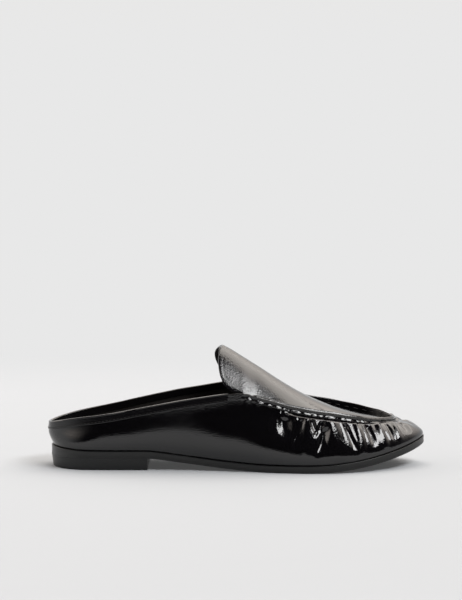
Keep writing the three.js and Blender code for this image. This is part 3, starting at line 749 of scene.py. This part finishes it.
def whole_section(left, right):
    """Joins two halves to closed sections: top, right rim, underside, left rim."""
    left_top, left_rim, left_under = left
    right_top, right_rim, right_under = right
    over = [left_top[:, ::-1], right_top[:, 1:], right_rim]
    back = [right_under[:, ::-1], left_under[:, 1:], left_rim[:, ::-1]]
    return np.concatenate(over + back, axis=1)


tab_bases = THROAT_X - TAB_REACH * np.cos(np.linspace(0, 1, 30)[:-1] * np.pi / 2)
tab_rows = whole_section(tab_half(tab_bases, -1), tab_half(tab_bases, 1))
seam_turns = turns[throat_station:][turns[throat_station:] <= np.pi]
seam_turns = np.append(seam_turns[:-1:2], np.pi)
mirrored = 2 * np.pi - seam_turns
reached = (at_turns(seam_turns, apron_edge_plan)[:, 0] + at_turns(mirrored, apron_edge_plan)[:, 0]) / 2
kept = reached > THROAT_X
from_x = spine(reached[kept])
seam_rows = whole_section(seam_half(seam_turns[kept], from_x), seam_half(mirrored[kept], from_x))
back_rim = tab_rows[:1].copy()
middle_row = (back_rim + back_rim[:, ::-1]) / 2
back_rim = lerp(back_rim, middle_row, 0.45) - [0.45, 0, 0]
apron_grid = np.concatenate([back_rim, tab_rows, seam_rows])
apron_grid = np.roll(apron_grid, RIM // 2, axis=1)
apron = make_piece("apron_calf", apron_grid, sharp=50, merge=True)
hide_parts("apron")

# %% [markdown]
# ## The collar's binding
#
# The topline behind the tab is bound: a strip of soft kid is sewn on inside out, rolled
# over the edge and stitched down on both sides. It is a profile carried along the
# topline, with two legs, a rolled top and a bead where its lower edge is folded under.

# %% The binding
end_turn = float(np.interp(THROAT_X - BINDING_TUCK, top_loop[:2000, 0], TURNS[:2000]))
collar_turns = np.linspace(-end_turn, end_turn, 420)
collar_top = at_turns(collar_turns, top_loop)
collar_down = lip_foot_at(collar_turns) - collar_top
collar_down /= np.linalg.norm(collar_down, axis=1, keepdims=True)
collar_out = at_turns(collar_turns, np.column_stack([top_normal, np.zeros(len(TURNS))]))


def roll_profile(gap, turned_under):
    """Half of the binding's profile as (outwards, downwards) pairs: up the outer leg,
    over the edge on half an ellipse and down the inner leg."""
    leg = np.linspace(BINDING_WIDTH, 0, 14)
    bead = turned_under * np.exp(-((leg - BINDING_WIDTH + 0.45) / 0.4) ** 2)
    slant = 0.2 * leg / BINDING_WIDTH
    outer_leg = np.stack([gap - 0.25 + slant + bead, leg], -1)
    arc = np.linspace(0, np.pi, 15)[1:-1]
    middle, wide = -EDGE_WALL / 2, EDGE_WALL / 2 + gap
    over = np.stack([middle + wide * np.cos(arc), -(gap + 0.15) * np.sin(arc)], -1)
    inner_leg = np.stack([np.full(12, -EDGE_WALL - gap), np.linspace(0, SEAM_LIP, 12)], -1)
    return np.vstack([outer_leg, over, inner_leg])


profile = np.vstack([roll_profile(0.55, 0.15), roll_profile(0.3, 0)[::-1]])
binding_grid = (collar_top[:, None] + collar_out[:, None] * profile[None, :, :1]
                + collar_down[:, None] * profile[None, :, 1:])
binding = make_piece("collar_roll", binding_grid, sharp=60)
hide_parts("collar_binding")

# %% [markdown]
# ## Sole, heel and sock
#
# The sole is cut from rubber sheet and its edge is ground and dressed, so it shows as a
# satin band. The heel block is glued under it and ground flush with it, which is why no
# line shows between them. Both are stacks of rings: the loop seen from above, moved in
# and up from ring to ring. The sock covers the inside of the sole.

# %% The outsole
ring_turns = (np.arange(420) + 0.5) * (2 * np.pi / 420)
ring = at_turns(ring_turns, sole_loop)
ring_out = outward(ring)
under_round = lerp(0.12, 0.8, ease(ring[:, 0], HEEL_LENGTH + 0.5, HEEL_LENGTH + 5))


def moved(loop, out, inset):
    """A plan loop moved in along its normals."""
    return loop - out * np.reshape(inset, (-1, 1))


def edge_rings(loop, out, low_round, high_round, low_z, high_z, hollow):
    """Rings up the edge of a slab: a quarter circle below, a face that is hollow by a
    sine of its height, and a quarter circle above."""
    rings = []
    for angle in np.linspace(0, np.pi / 2, 5):
        plan = moved(loop, out, low_round * (1 - math.sin(angle)))
        rings.append(np.column_stack([plan, low_z(plan[:, 0]) + low_round * (1 - math.cos(angle))]))
    for share in np.linspace(0.15, 0.85, 5):
        plan = moved(loop, out, hollow * math.sin(math.pi * share))
        low, high = low_z(plan[:, 0]) + low_round, high_z(plan[:, 0]) - high_round
        rings.append(np.column_stack([plan, lerp(low, high, share)]))
    for angle in np.linspace(0, np.pi / 2, 5):
        plan = moved(loop, out, high_round * (1 - math.cos(angle)))
        rings.append(np.column_stack([plan, high_z(plan[:, 0]) - high_round * (1 - math.sin(angle))]))
    return rings


sole_rings = edge_rings(ring, ring_out, under_round, 0.4, sole_under, sole_top, 0.12)
tread = moved(ring, ring_out, 6)
sole_rings.insert(0, np.column_stack([tread, sole_under(tread[:, 0])]))
outsole = make_piece("rubber_sole", np.array(sole_rings), sharp=40)
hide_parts("outsole")

# %% The heel block


def heel_ring(inset, z):
    """The sole's edge up to the breast, moved in, closed by a breast that is hollow by
    4 t (1 - t) times its depth."""
    t = (np.arange(48) + 0.5) / 48
    side_x = HEEL_LENGTH * (1 - np.cos(np.pi / 2 * np.append(t, 1)))
    outer_side = np.column_stack([side_x, sole_y(side_x, -1)])[::-1]
    inner_side = np.column_stack([side_x, sole_y(side_x, 1)])
    back = np.vstack([outer_side, inner_side])
    along = np.gradient(back, axis=0)
    along /= np.linalg.norm(along, axis=1, keepdims=True)
    back = back + inset * np.column_stack([along[:, 1], -along[:, 0]])
    share = (np.arange(1, 16) + 0.5) / 32
    middle = lerp(back[-1, 1], back[0, 1], 0.5)
    hollow = HEEL_LENGTH - BREAST_HOLLOW * 4 * (0.5 + share) * (0.5 - share)
    near = np.column_stack([hollow, lerp(middle, back[0, 1], 2 * share)])
    far = np.column_stack([hollow, lerp(middle, back[-1, 1], 2 * share)])
    plan = np.vstack([near, back, far[::-1]])
    return np.column_stack([plan, np.full(len(plan), float(z))])


heel_rings = [heel_ring(HEEL_TAPER + 0.4, 0), heel_ring(HEEL_TAPER + 0.1, 0.12), heel_ring(HEEL_TAPER, 0.4)]
heel_rings += [heel_ring(HEEL_TAPER * (1 - t), lerp(0.4, HEEL_LIFT - 0.05, t)) for t in (0.3, 0.6, 0.85, 1)]
heel = make_piece("rubber_heel", np.array(heel_rings), sharp=35)
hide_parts("heel")

# %% The sock
SOCK_INSET = 2.5
sock = at_turns(ring_turns, foot_loop - SOCK_INSET * foot_normal)
sock_out = outward(sock)


def sock_under(x):
    """A gap above the sole's top."""
    return sole_top(x) + GAP


def sock_top(x):
    """The sock's thickness above its underside."""
    return sock_under(x) + INSOLE_THICKNESS


# Over the top the rings draw in past a stitched groove to a tread that is worn hollow.
sock_rings = edge_rings(sock, sock_out, 0.3, 0.9, sock_under, sock_top, 0)
for inset, drop in ((2.2, 0), (3.0, 0.28), (3.8, 0), (7, 0.15), (12, 0)):
    plan = moved(sock, sock_out, inset)
    sock_rings.append(np.column_stack([plan, sock_top(plan[:, 0]) - drop]))
insole = make_piece("leather_sock", np.array(sock_rings), sharp=40)
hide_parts("insole")

# %% [markdown]
# ## Stitches
#
# Thread is what tells the eye how large the shoe is. One stitch is a small capsule of
# waxed thread that lies half sunk in the leather. All stitches of a seam are one mesh:
# the same few faces, set along a line at the seam's own pitch.

# %% A row of stitches


def stitch_mesh(name, path, surface_out, pitch, length, thick):
    """Capsules along a line: at every pitch one ring grid whose radius is the root of
    1 - t^2 of its length, flattened a little against the surface."""
    steps_along = np.linalg.norm(np.diff(path, axis=0), axis=1)
    total = np.concatenate([[0], np.cumsum(steps_along)])
    centres_at = np.arange(pitch / 2, total[-1], pitch)

    def read(table, at):
        return np.stack([np.interp(at, total, column) for column in table.T], -1)

    centre = read(path, centres_at)
    lead = read(path, centres_at + 0.3) - centre
    lead /= np.linalg.norm(lead, axis=1, keepdims=True)
    out = read(surface_out, centres_at)
    out -= lead * np.sum(out * lead, axis=1, keepdims=True)
    out /= np.linalg.norm(out, axis=1, keepdims=True)
    aside = np.cross(lead, out)
    t = np.array([-1, -0.85, -0.45, 0, 0.45, 0.85, 1])
    radius = thick / 2 * np.sqrt(np.clip(1.02 - t ** 2, 0.02, 1)) ** 0.7
    around = 8
    turn = (np.arange(around) + 0.5) * (2 * np.pi / around)
    grid = (centre[:, None, None] + lead[:, None, None] * (t * length / 2)[None, :, None, None]
            + aside[:, None, None] * (radius[:, None] * np.cos(turn))[None, :, :, None]
            + out[:, None, None] * (radius[:, None] * np.sin(turn) * 0.8)[None, :, :, None])
    faces = grid_faces(len(t), around, False, True)
    faces = np.vstack([faces, end_caps(len(t), around)])
    one = row_frame(grid[0])
    if signed_volume(one - one.mean(axis=0), faces) < 0:
        faces = faces[:, ::-1]
    every = (faces[None] + len(t) * around * np.arange(len(centre))[:, None, None]).reshape(-1, 4)
    return put_in(name, row_frame(grid), every)


# %% The three sewn lines
BINDING_PITCH = 2.6
FINE_THREAD = 0.42
STOUT_THREAD = 0.6
stitched = collar_top + collar_down * (BINDING_WIDTH - 1.1) + collar_out * 0.56
binding_thread = stitch_mesh("binding_thread", stitched, collar_out, BINDING_PITCH, 2.0, FINE_THREAD)


def seam_line(face_foot, up, inset, plain, end_gap, surface_out):
    """A line along one face of the raised seam, at a share of its height, with the way
    out of that face, from end_gap after the throat to as much before it."""
    line = lip_points(top_edge, face_foot, edge_out, wave, np.array([up]), inset, plain)[:, 0]
    zone = from_ends(seam_place) > end_gap
    return line[zone], surface_out[zone]


vamp_line = seam_line(outer_face[:, -1], 0.74, -0.03, False, 3, edge_out)
vamp_thread = stitch_mesh("vamp_thread", *vamp_line, STITCH_PITCH, 2.4, FINE_THREAD)
apron_line = seam_line(lip_foot, 0.5, EDGE_WALL + GAP + APRON_WALL + 0.05, True, 10, -edge_out)
apron_thread = stitch_mesh("apron_thread", *apron_line, STITCH_PITCH, 3.4, STOUT_THREAD)
threads = [binding_thread, vamp_thread, apron_thread]

# %% [markdown]
# ## Finishes
#
# The shoe is black all over, so its finishes differ in how they reflect: polished calf
# is a mirror with a fine grain in it, kid is softer, dressed rubber is satin, and the
# lining and the thread are dull.

# %% Colour and node helpers


def linear(code):
    """An sRGB hex colour as linear RGBA: c / 12.92 when dark, else ((c + .055) / 1.055) ** 2.4."""
    parts = [int(code[k:k + 2], 16) / 255 for k in (1, 3, 5)]
    return [c / 12.92 if c <= 0.04045 else ((c + 0.055) / 1.055) ** 2.4 for c in parts] + [1.0]


def add(tree, kind, settings=None, links=None):
    """Adds a node, sets its sockets or properties by name, and links sockets to it."""
    made = tree.nodes.new(kind)
    for name, value in (settings or {}).items():
        if name in made.inputs:
            made.inputs[name].default_value = value
        else:
            setattr(made, name, value)
    for name, source in (links or {}).items():
        tree.links.new(source, made.inputs[name])
    return made


def finish_of(name, code, roughness, ior=1.5):
    """A material with a Principled shader and Object coordinates, ready for its pattern."""
    material = bpy.data.materials.new(name)
    material.use_nodes = True
    tree = material.node_tree
    tree.nodes.clear()
    looks = {"Base Color": linear(code), "Roughness": roughness, "IOR": ior}
    shader = add(tree, "ShaderNodeBsdfPrincipled", looks)
    add(tree, "ShaderNodeOutputMaterial", links={"Surface": shader.outputs["BSDF"]})
    place = add(tree, "ShaderNodeTexCoord").outputs["Object"]
    return material, tree, shader, place


def per_metre(size_mm):
    """Texture scale that gives a pattern of that size, since Object coordinates are metres."""
    return 1000 / size_mm


def noise(tree, place, size_mm, detail):
    """Soft cloudy noise whose blots are about size_mm across."""
    settings = {"Scale": per_metre(size_mm), "Detail": detail}
    return add(tree, "ShaderNodeTexNoise", settings, {"Vector": place}).outputs["Fac"]


def emboss(tree, height, strength, depth_mm, under=None):
    """The normal of a surface that a pattern raises by up to depth_mm. It is laid over
    another one where that is given, and strength may be a socket."""
    settings, links = {"Distance": depth_mm / 1000}, {"Height": height}
    if isinstance(strength, float):
        settings["Strength"] = strength
    else:
        links["Strength"] = strength
    if under:
        links["Normal"] = under
    return add(tree, "ShaderNodeBump", settings, links).outputs["Normal"]


def map_range(tree, value, start, end, low, high):
    """A value between start and end as one between low and high."""
    settings = {"From Min": start, "From Max": end, "To Min": low, "To Max": high}
    return add(tree, "ShaderNodeMapRange", settings, {"Value": value}).outputs["Result"]


# %% [markdown]
# ## Polished calf
#
# Box calf, aniline dyed, waxed and glazed: nearly a black mirror. The hair follicles
# leave a grain just under a millimetre wide, and the flat of the hide is never quite
# even, so reflections ripple over some centimetres. Over the last the leather is
# stretched and its grain drawn flat; the tab stands free, so there the grain stays open.
# One bump could hold it all, but these three differ in size and depth, so each is a
# pattern of its own, laid over the last.

# %% The calf
calf, tree, shader, place = finish_of("glazed black calf", "#0b0a0c", 0.06, 1.6)
# Heights in metres between which the leather comes free of the last
TAB_FREE = (0.040, 0.056)
pattern = {"Scale": per_metre(0.9), "feature": "SMOOTH_F1", "Smoothness": 0.6}
follicles = add(tree, "ShaderNodeTexVoronoi", pattern, {"Vector": place}).outputs["Distance"]
pores = noise(tree, place, 0.7, 3.0)
uneven = noise(tree, place, 16, 1.0)
height = add(tree, "ShaderNodeSeparateXYZ", links={"Vector": place}).outputs["Z"]
open_grain = map_range(tree, height, *TAB_FREE, 0.2, 0.6)
rippled = emboss(tree, uneven, 0.25, 0.6)
grained = emboss(tree, follicles, open_grain, 0.2, rippled)
tree.links.new(emboss(tree, pores, 0.25, 0.1, grained), shader.inputs["Normal"])
wax = map_range(tree, uneven, 0.3, 0.7, 0.05, 0.09)
softer = map_range(tree, height, *TAB_FREE, 0.0, 0.045)
gloss = add(tree, "ShaderNodeMath", {"operation": "ADD"})
tree.links.new(wax, gloss.inputs[0])
tree.links.new(softer, gloss.inputs[1])
tree.links.new(gloss.outputs["Value"], shader.inputs["Roughness"])

# %% [markdown]
# ## Lining leather
#
# The inside is taken as black pigskin with a soft nap. It throws back no image, only a
# dim even tone, and that is what makes the opening look deep. A plain dark colour would
# look like paint, so one noise gives both the nap and its faint change of tone.

# %% The lining
lining, tree, shader, place = finish_of("black lining leather", "#191715", 0.55)
nap = noise(tree, place, 1.1, 4.0)
tree.links.new(emboss(tree, nap, 0.3, 0.2), shader.inputs["Normal"])
tone = add(tree, "ShaderNodeValToRGB", links={"Fac": nap})
tone.color_ramp.elements[0].color = linear("#12100f")
tone.color_ramp.elements[1].color = linear("#24211e")
tree.links.new(tone.outputs["Color"], shader.inputs["Base Color"])

# %% [markdown]
# ## Kid for the binding
#
# Kid is thinner and softer than calf, so it rolls over an edge without cracking. It is
# a little less glossy, so the roll shows one soft line of light and no sharp image. The
# fine creases need nothing more than a noise.

# %% The kid
kid, tree, shader, place = finish_of("black kid, rolled", "#0d0c0e", 0.12)
tree.links.new(emboss(tree, noise(tree, place, 1.4, 3.0), 0.25, 0.2), shader.inputs["Normal"])

# %% [markdown]
# ## Dressed rubber
#
# The edge of the sole and the heel is ground on a wheel and dressed with ink: a satin
# band that stays an even dark grey beside the leather's reflections. Its grit is too
# fine to be worth a shape, so a rough shine and a slight bump are enough.

# %% The rubber
rubber, tree, shader, place = finish_of("black rubber, ground and dressed", "#0c0d0d", 0.38)
tree.links.new(emboss(tree, noise(tree, place, 0.6, 2.0), 0.2, 0.1), shader.inputs["Normal"])

# %% [markdown]
# ## Waxed thread
#
# Linen drawn through black wax is dull, so a stitch shows as a dark dash on the shine.
# Its twist could be modelled, but a stitch is under a pixel high in the photograph, so
# bands that run across it stand for the plies.

# %% The thread
thread, tree, shader, place = finish_of("waxed linen thread, black", "#191716", 0.6)
turns_of_ply = {"Scale": per_metre(0.5) / 6, "Distortion": 1.0}
twist = add(tree, "ShaderNodeTexWave", turns_of_ply, {"Vector": place}).outputs["Fac"]
tree.links.new(emboss(tree, twist, 0.4, 0.1), shader.inputs["Normal"])

# %% Each piece in its finish


def dress(piece, *materials):
    """Gives a piece its materials, the first to all its faces."""
    for material in materials:
        piece.data.materials.append(material)


dress(upper, calf, lining)
dress(apron, calf, lining)
dress(binding, kid)
dress(outsole, rubber)
dress(heel, rubber)
dress(insole, lining)
for piece in threads:
    dress(piece, thread)
print("finishes:", ", ".join(made.name for made in (calf, lining, kid, rubber, thread)))

# %% The lined faces
# The upper's columns run up the outer face, over the lip and down the lined inner face.
outer_columns = outer_face.shape[1] + len(lip_rows) + lip_crown.shape[1]
columns = upper_grid.shape[1]
face_column = np.arange(len(upper.data.polygons)) % columns
upper.data.polygons.foreach_set("material_index", (face_column >= outer_columns).astype(np.int32))

# The apron's lining is the side that faces down.
normals = np.empty(3 * len(apron.data.polygons))
apron.data.polygons.foreach_get("normal", normals)
apron_faces_down = (normals.reshape(-1, 3)[:, 2] < -0.15).astype(np.int32)
apron.data.polygons.foreach_set("material_index", apron_faces_down)
print("lined faces", int((face_column >= outer_columns).sum()), int(apron_faces_down.sum()))

# %% [markdown]
# ## Floor, light and camera
#
# A black mirror shows the room more than itself. The room is a pale floor that runs up
# into a pale backdrop, a narrow soft box ahead of the toe with a weak glow round it, a
# wide one overhead, and darkness on the camera's side and beyond the toe. That darkness
# is what keeps the troughs between the bright folds black.

# %% Floor and backdrop


def studio_grid(radius, bend, top):
    """A round floor that turns up into a wall on a quarter circle. The wall gives less
    and less light towards the camera's side, from 80 to 25 degrees either side of it,
    and at the toe's side the dark begins up to 45 degrees further round.
    Returns the grid, each ring's reach and height, and that share for each column."""
    out = np.concatenate([np.linspace(0.05, 0.8, 16), np.linspace(0.8, radius - bend, 12)[1:]])
    angle = np.linspace(0, np.pi / 2, 12)[1:]
    turned = np.stack([radius - bend + bend * np.sin(angle), bend * (1 - np.cos(angle))], -1)
    rise = np.linspace(bend, top, 14)[1:]
    line = np.vstack([np.column_stack([out, out * 0]), turned, np.column_stack([rise * 0 + radius, rise])])
    turn = np.arange(96) * (2 * np.pi / 96)
    from_camera = np.degrees(np.arccos(np.clip(-np.cos(turn), -1, 1)))
    from_camera -= 45 * np.clip(np.sin(turn), 0, 1)
    x = line[:, :1] * np.sin(turn)
    y = line[:, :1] * np.cos(turn)
    z = np.broadcast_to(line[:, 1:], x.shape)
    return np.stack([x, y, z], -1), line[:, 0], line[:, 1], ease(from_camera, 25, 80)


stage_grid, stage_reach, stage_height, wall_share = studio_grid(2.2, 0.3, 1.7)
columns = stage_grid.shape[1]
stage_faces = grid_faces(*stage_grid.shape[:2], False, True)
centre_fan = np.stack([np.arange(columns), (np.arange(columns) + 1) % columns], -1)
mesh = bpy.data.meshes.new("floor_and_backdrop")
# A fan of triangles closes the middle, under the shoe.
middle = np.array([[0, 0, 0.0]])
stage_points = stage_grid.reshape(-1, 3)
fan = np.column_stack([centre_fan[:, ::-1], np.full(columns, len(stage_points))])
mesh.from_pydata(np.vstack([stage_points, middle]).tolist(), [],
                 stage_faces[:, ::-1].tolist() + fan.tolist())
mesh.shade_smooth()
floor = bpy.data.objects.new("floor_and_backdrop", mesh)
bpy.context.scene.collection.objects.link(floor)

PAPER = 0.807
FLOOR_GLOW = 0.06
upright = ease(stage_height, 0, 0.12)[:, None]
glow = (PAPER + 2.0 * ease(stage_height, 0.5, 1.7)[:, None]) * lerp(1, wall_share[None], upright)
catch = np.broadcast_to(1 - ease(stage_reach, 0.32, 0.75)[:, None], glow.shape)

paper = bpy.data.materials.new("pale paper roll")
paper.use_nodes = True
tree = paper.node_tree
tree.nodes.clear()
white_read = add(tree, "ShaderNodeAttribute", {"attribute_name": "white"})
glow_read = add(tree, "ShaderNodeAttribute", {"attribute_name": "glow"})
catch_read = add(tree, "ShaderNodeAttribute", {"attribute_name": "catch"})
matt = add(tree, "ShaderNodeBsdfDiffuse", links={"Color": white_read.outputs["Color"]})
low_glow = add(tree, "ShaderNodeEmission", {"Strength": FLOOR_GLOW})
lit = add(tree, "ShaderNodeAddShader")
tree.links.new(matt.outputs["BSDF"], lit.inputs[0])
tree.links.new(low_glow.outputs["Emission"], lit.inputs[1])
even = add(tree, "ShaderNodeEmission", links={"Color": glow_read.outputs["Color"]})
both = add(tree, "ShaderNodeMixShader", links={"Fac": catch_read.outputs["Fac"]})
tree.links.new(even.outputs["Emission"], both.inputs[1])
tree.links.new(lit.outputs["Shader"], both.inputs[2])
add(tree, "ShaderNodeOutputMaterial", links={"Surface": both.outputs["Shader"]})
dress(floor, paper)

# %% Light


def soft_box(name, place, towards, width, height, radiance):
    """A rectangular area light at a place, turned to face a point. Its power is the
    radiance times pi times its area."""
    lamp = bpy.data.lights.new(name, "AREA")
    lamp.shape = "RECTANGLE"
    lamp.size, lamp.size_y = width, height
    lamp.energy = radiance * math.pi * width * height
    holder = bpy.data.objects.new(name, lamp)
    bpy.context.scene.collection.objects.link(holder)
    holder.location = place
    holder.rotation_mode = "QUATERNION"
    way = mathutils.Vector(towards) - mathutils.Vector(place)
    holder.rotation_quaternion = way.to_track_quat("-Z", "Y")
    return holder


def shine(holder, points, grid=12):
    """Irradiance that a soft box gives upward-facing points, one value a colour: its
    radiance times cosine times cosine over distance squared, summed over its cells."""
    lamp = holder.data
    turned = np.array(holder.rotation_quaternion.to_matrix())
    cell = (np.arange(grid) + 0.5) / grid - 0.5
    u, v = np.meshgrid(cell * lamp.size, cell * lamp.size_y)
    spots = np.array(holder.location) + u.reshape(-1, 1) * turned[:, 0] + v.reshape(-1, 1) * turned[:, 1]
    way = spots[None] - points.reshape(-1, 1, 3)
    squared = np.sum(way ** 2, axis=2)
    facing = np.clip(way @ turned[:, 2], 0, None) * np.clip(way[..., 2], 0, None) / squared ** 2
    radiance = lamp.energy / (math.pi * lamp.size * lamp.size_y)
    total = radiance * facing.sum(axis=1) * lamp.size * lamp.size_y / grid ** 2
    return total.reshape(points.shape[:-1])[..., None] * np.array(lamp.color)


SHOE_AT = (0.1, 0.0, 0.03)
key = soft_box("overhead_key", (0.86, -0.67, 1.14), SHOE_AT, 1.0, 0.42, radiance=10)
spill = soft_box("key_spill", (0.81, -0.63, 1.26), SHOE_AT, 1.1, 0.68, radiance=1.6)
fill = soft_box("overhead_fill", (0.85, 0.80, 1.60), (0.85, 0.80, 0.0), 2.6, 1.7, radiance=3.9)
fill.data.color = linear("#fff8f0")[:3]
on_floor = [float(shine(box, np.zeros((1, 3)))[0, 0]) for box in (key, spill, fill)]
print("light on the floor at the heel", np.round(on_floor, 2))

# %% Even paper
# In the photograph the floor is even all over, and only the shoe's shadow shows on it.
# So the paper is as white at each place as makes its unshaded light the same. The room
# light is what the glowing wall adds, measured in the render.
all_lights = shine(key, stage_grid) + shine(spill, stage_grid) + shine(fill, stage_grid)
warmth = ease(stage_height, 0.45, 0.9)[:, None, None]
tint = lerp(np.ones(3), np.array(linear("#fff6ee")[:3]), warmth)


def opaque(colours):
    """Colours with an alpha of 1 added."""
    return np.concatenate([colours, np.ones_like(colours[..., :1])], -1)


ROOM_LIGHT = np.array([1.02, 0.99, 0.94])
white = np.clip((PAPER - FLOOR_GLOW) * math.pi / (all_lights + ROOM_LIGHT), 0, 0.9)
paper_data = (
    ("glow", "FLOAT_COLOR", "color", opaque(glow[..., None] * tint)),
    ("catch", "FLOAT", "value", catch),
    ("white", "FLOAT_COLOR", "color", opaque(white)),
)
for name, kind, field, values in paper_data:
    flat = values.reshape(glow.size, -1)
    column = np.vstack([flat, flat[:1]]).ravel().astype(np.float32)
    mesh.attributes.new(name, kind, "POINT").data.foreach_set(field, column)
print("paper white near the shoe", np.round(white[0, 0], 3), "light there", np.round(all_lights[0, 0], 3))

world = bpy.data.worlds.new("dim studio")
bpy.context.scene.world = world
world.use_nodes = True
background = world.node_tree.nodes["Background"]
background.inputs["Color"].default_value = linear("#0b0a10")
background.inputs["Strength"].default_value = 1.0
bpy.context.scene.view_settings.view_transform = "Standard"

# %% [markdown]
# ## Camera
#
# The photograph looks at the outer side from a little above, with a long lens: the far
# topline shows above the near one, yet heel and toe keep nearly the same scale. The lens
# could be guessed, but here place, tilt and focal length, in the picture's own pixels,
# were matched together on points of the shoe.

# %% The camera
PHOTO_HEIGHT = 600
FOCAL_PIXELS = 1981
LOOKS_DOWN = 4.279
camera_data = bpy.data.cameras.new("photo_camera")
camera_data.sensor_width = 36
camera_data.lens = FOCAL_PIXELS / PHOTO_HEIGHT * camera_data.sensor_width
camera = bpy.data.objects.new("photo_camera", camera_data)
bpy.context.scene.collection.objects.link(camera)
camera.location = (0.0921, -1.3864, 0.2198)
camera.rotation_euler = (math.radians(90 - LOOKS_DOWN), 0, 0)
bpy.context.scene.camera = camera
print("lens", round(camera_data.lens, 1), "mm, looking down", LOOKS_DOWN, "degrees")
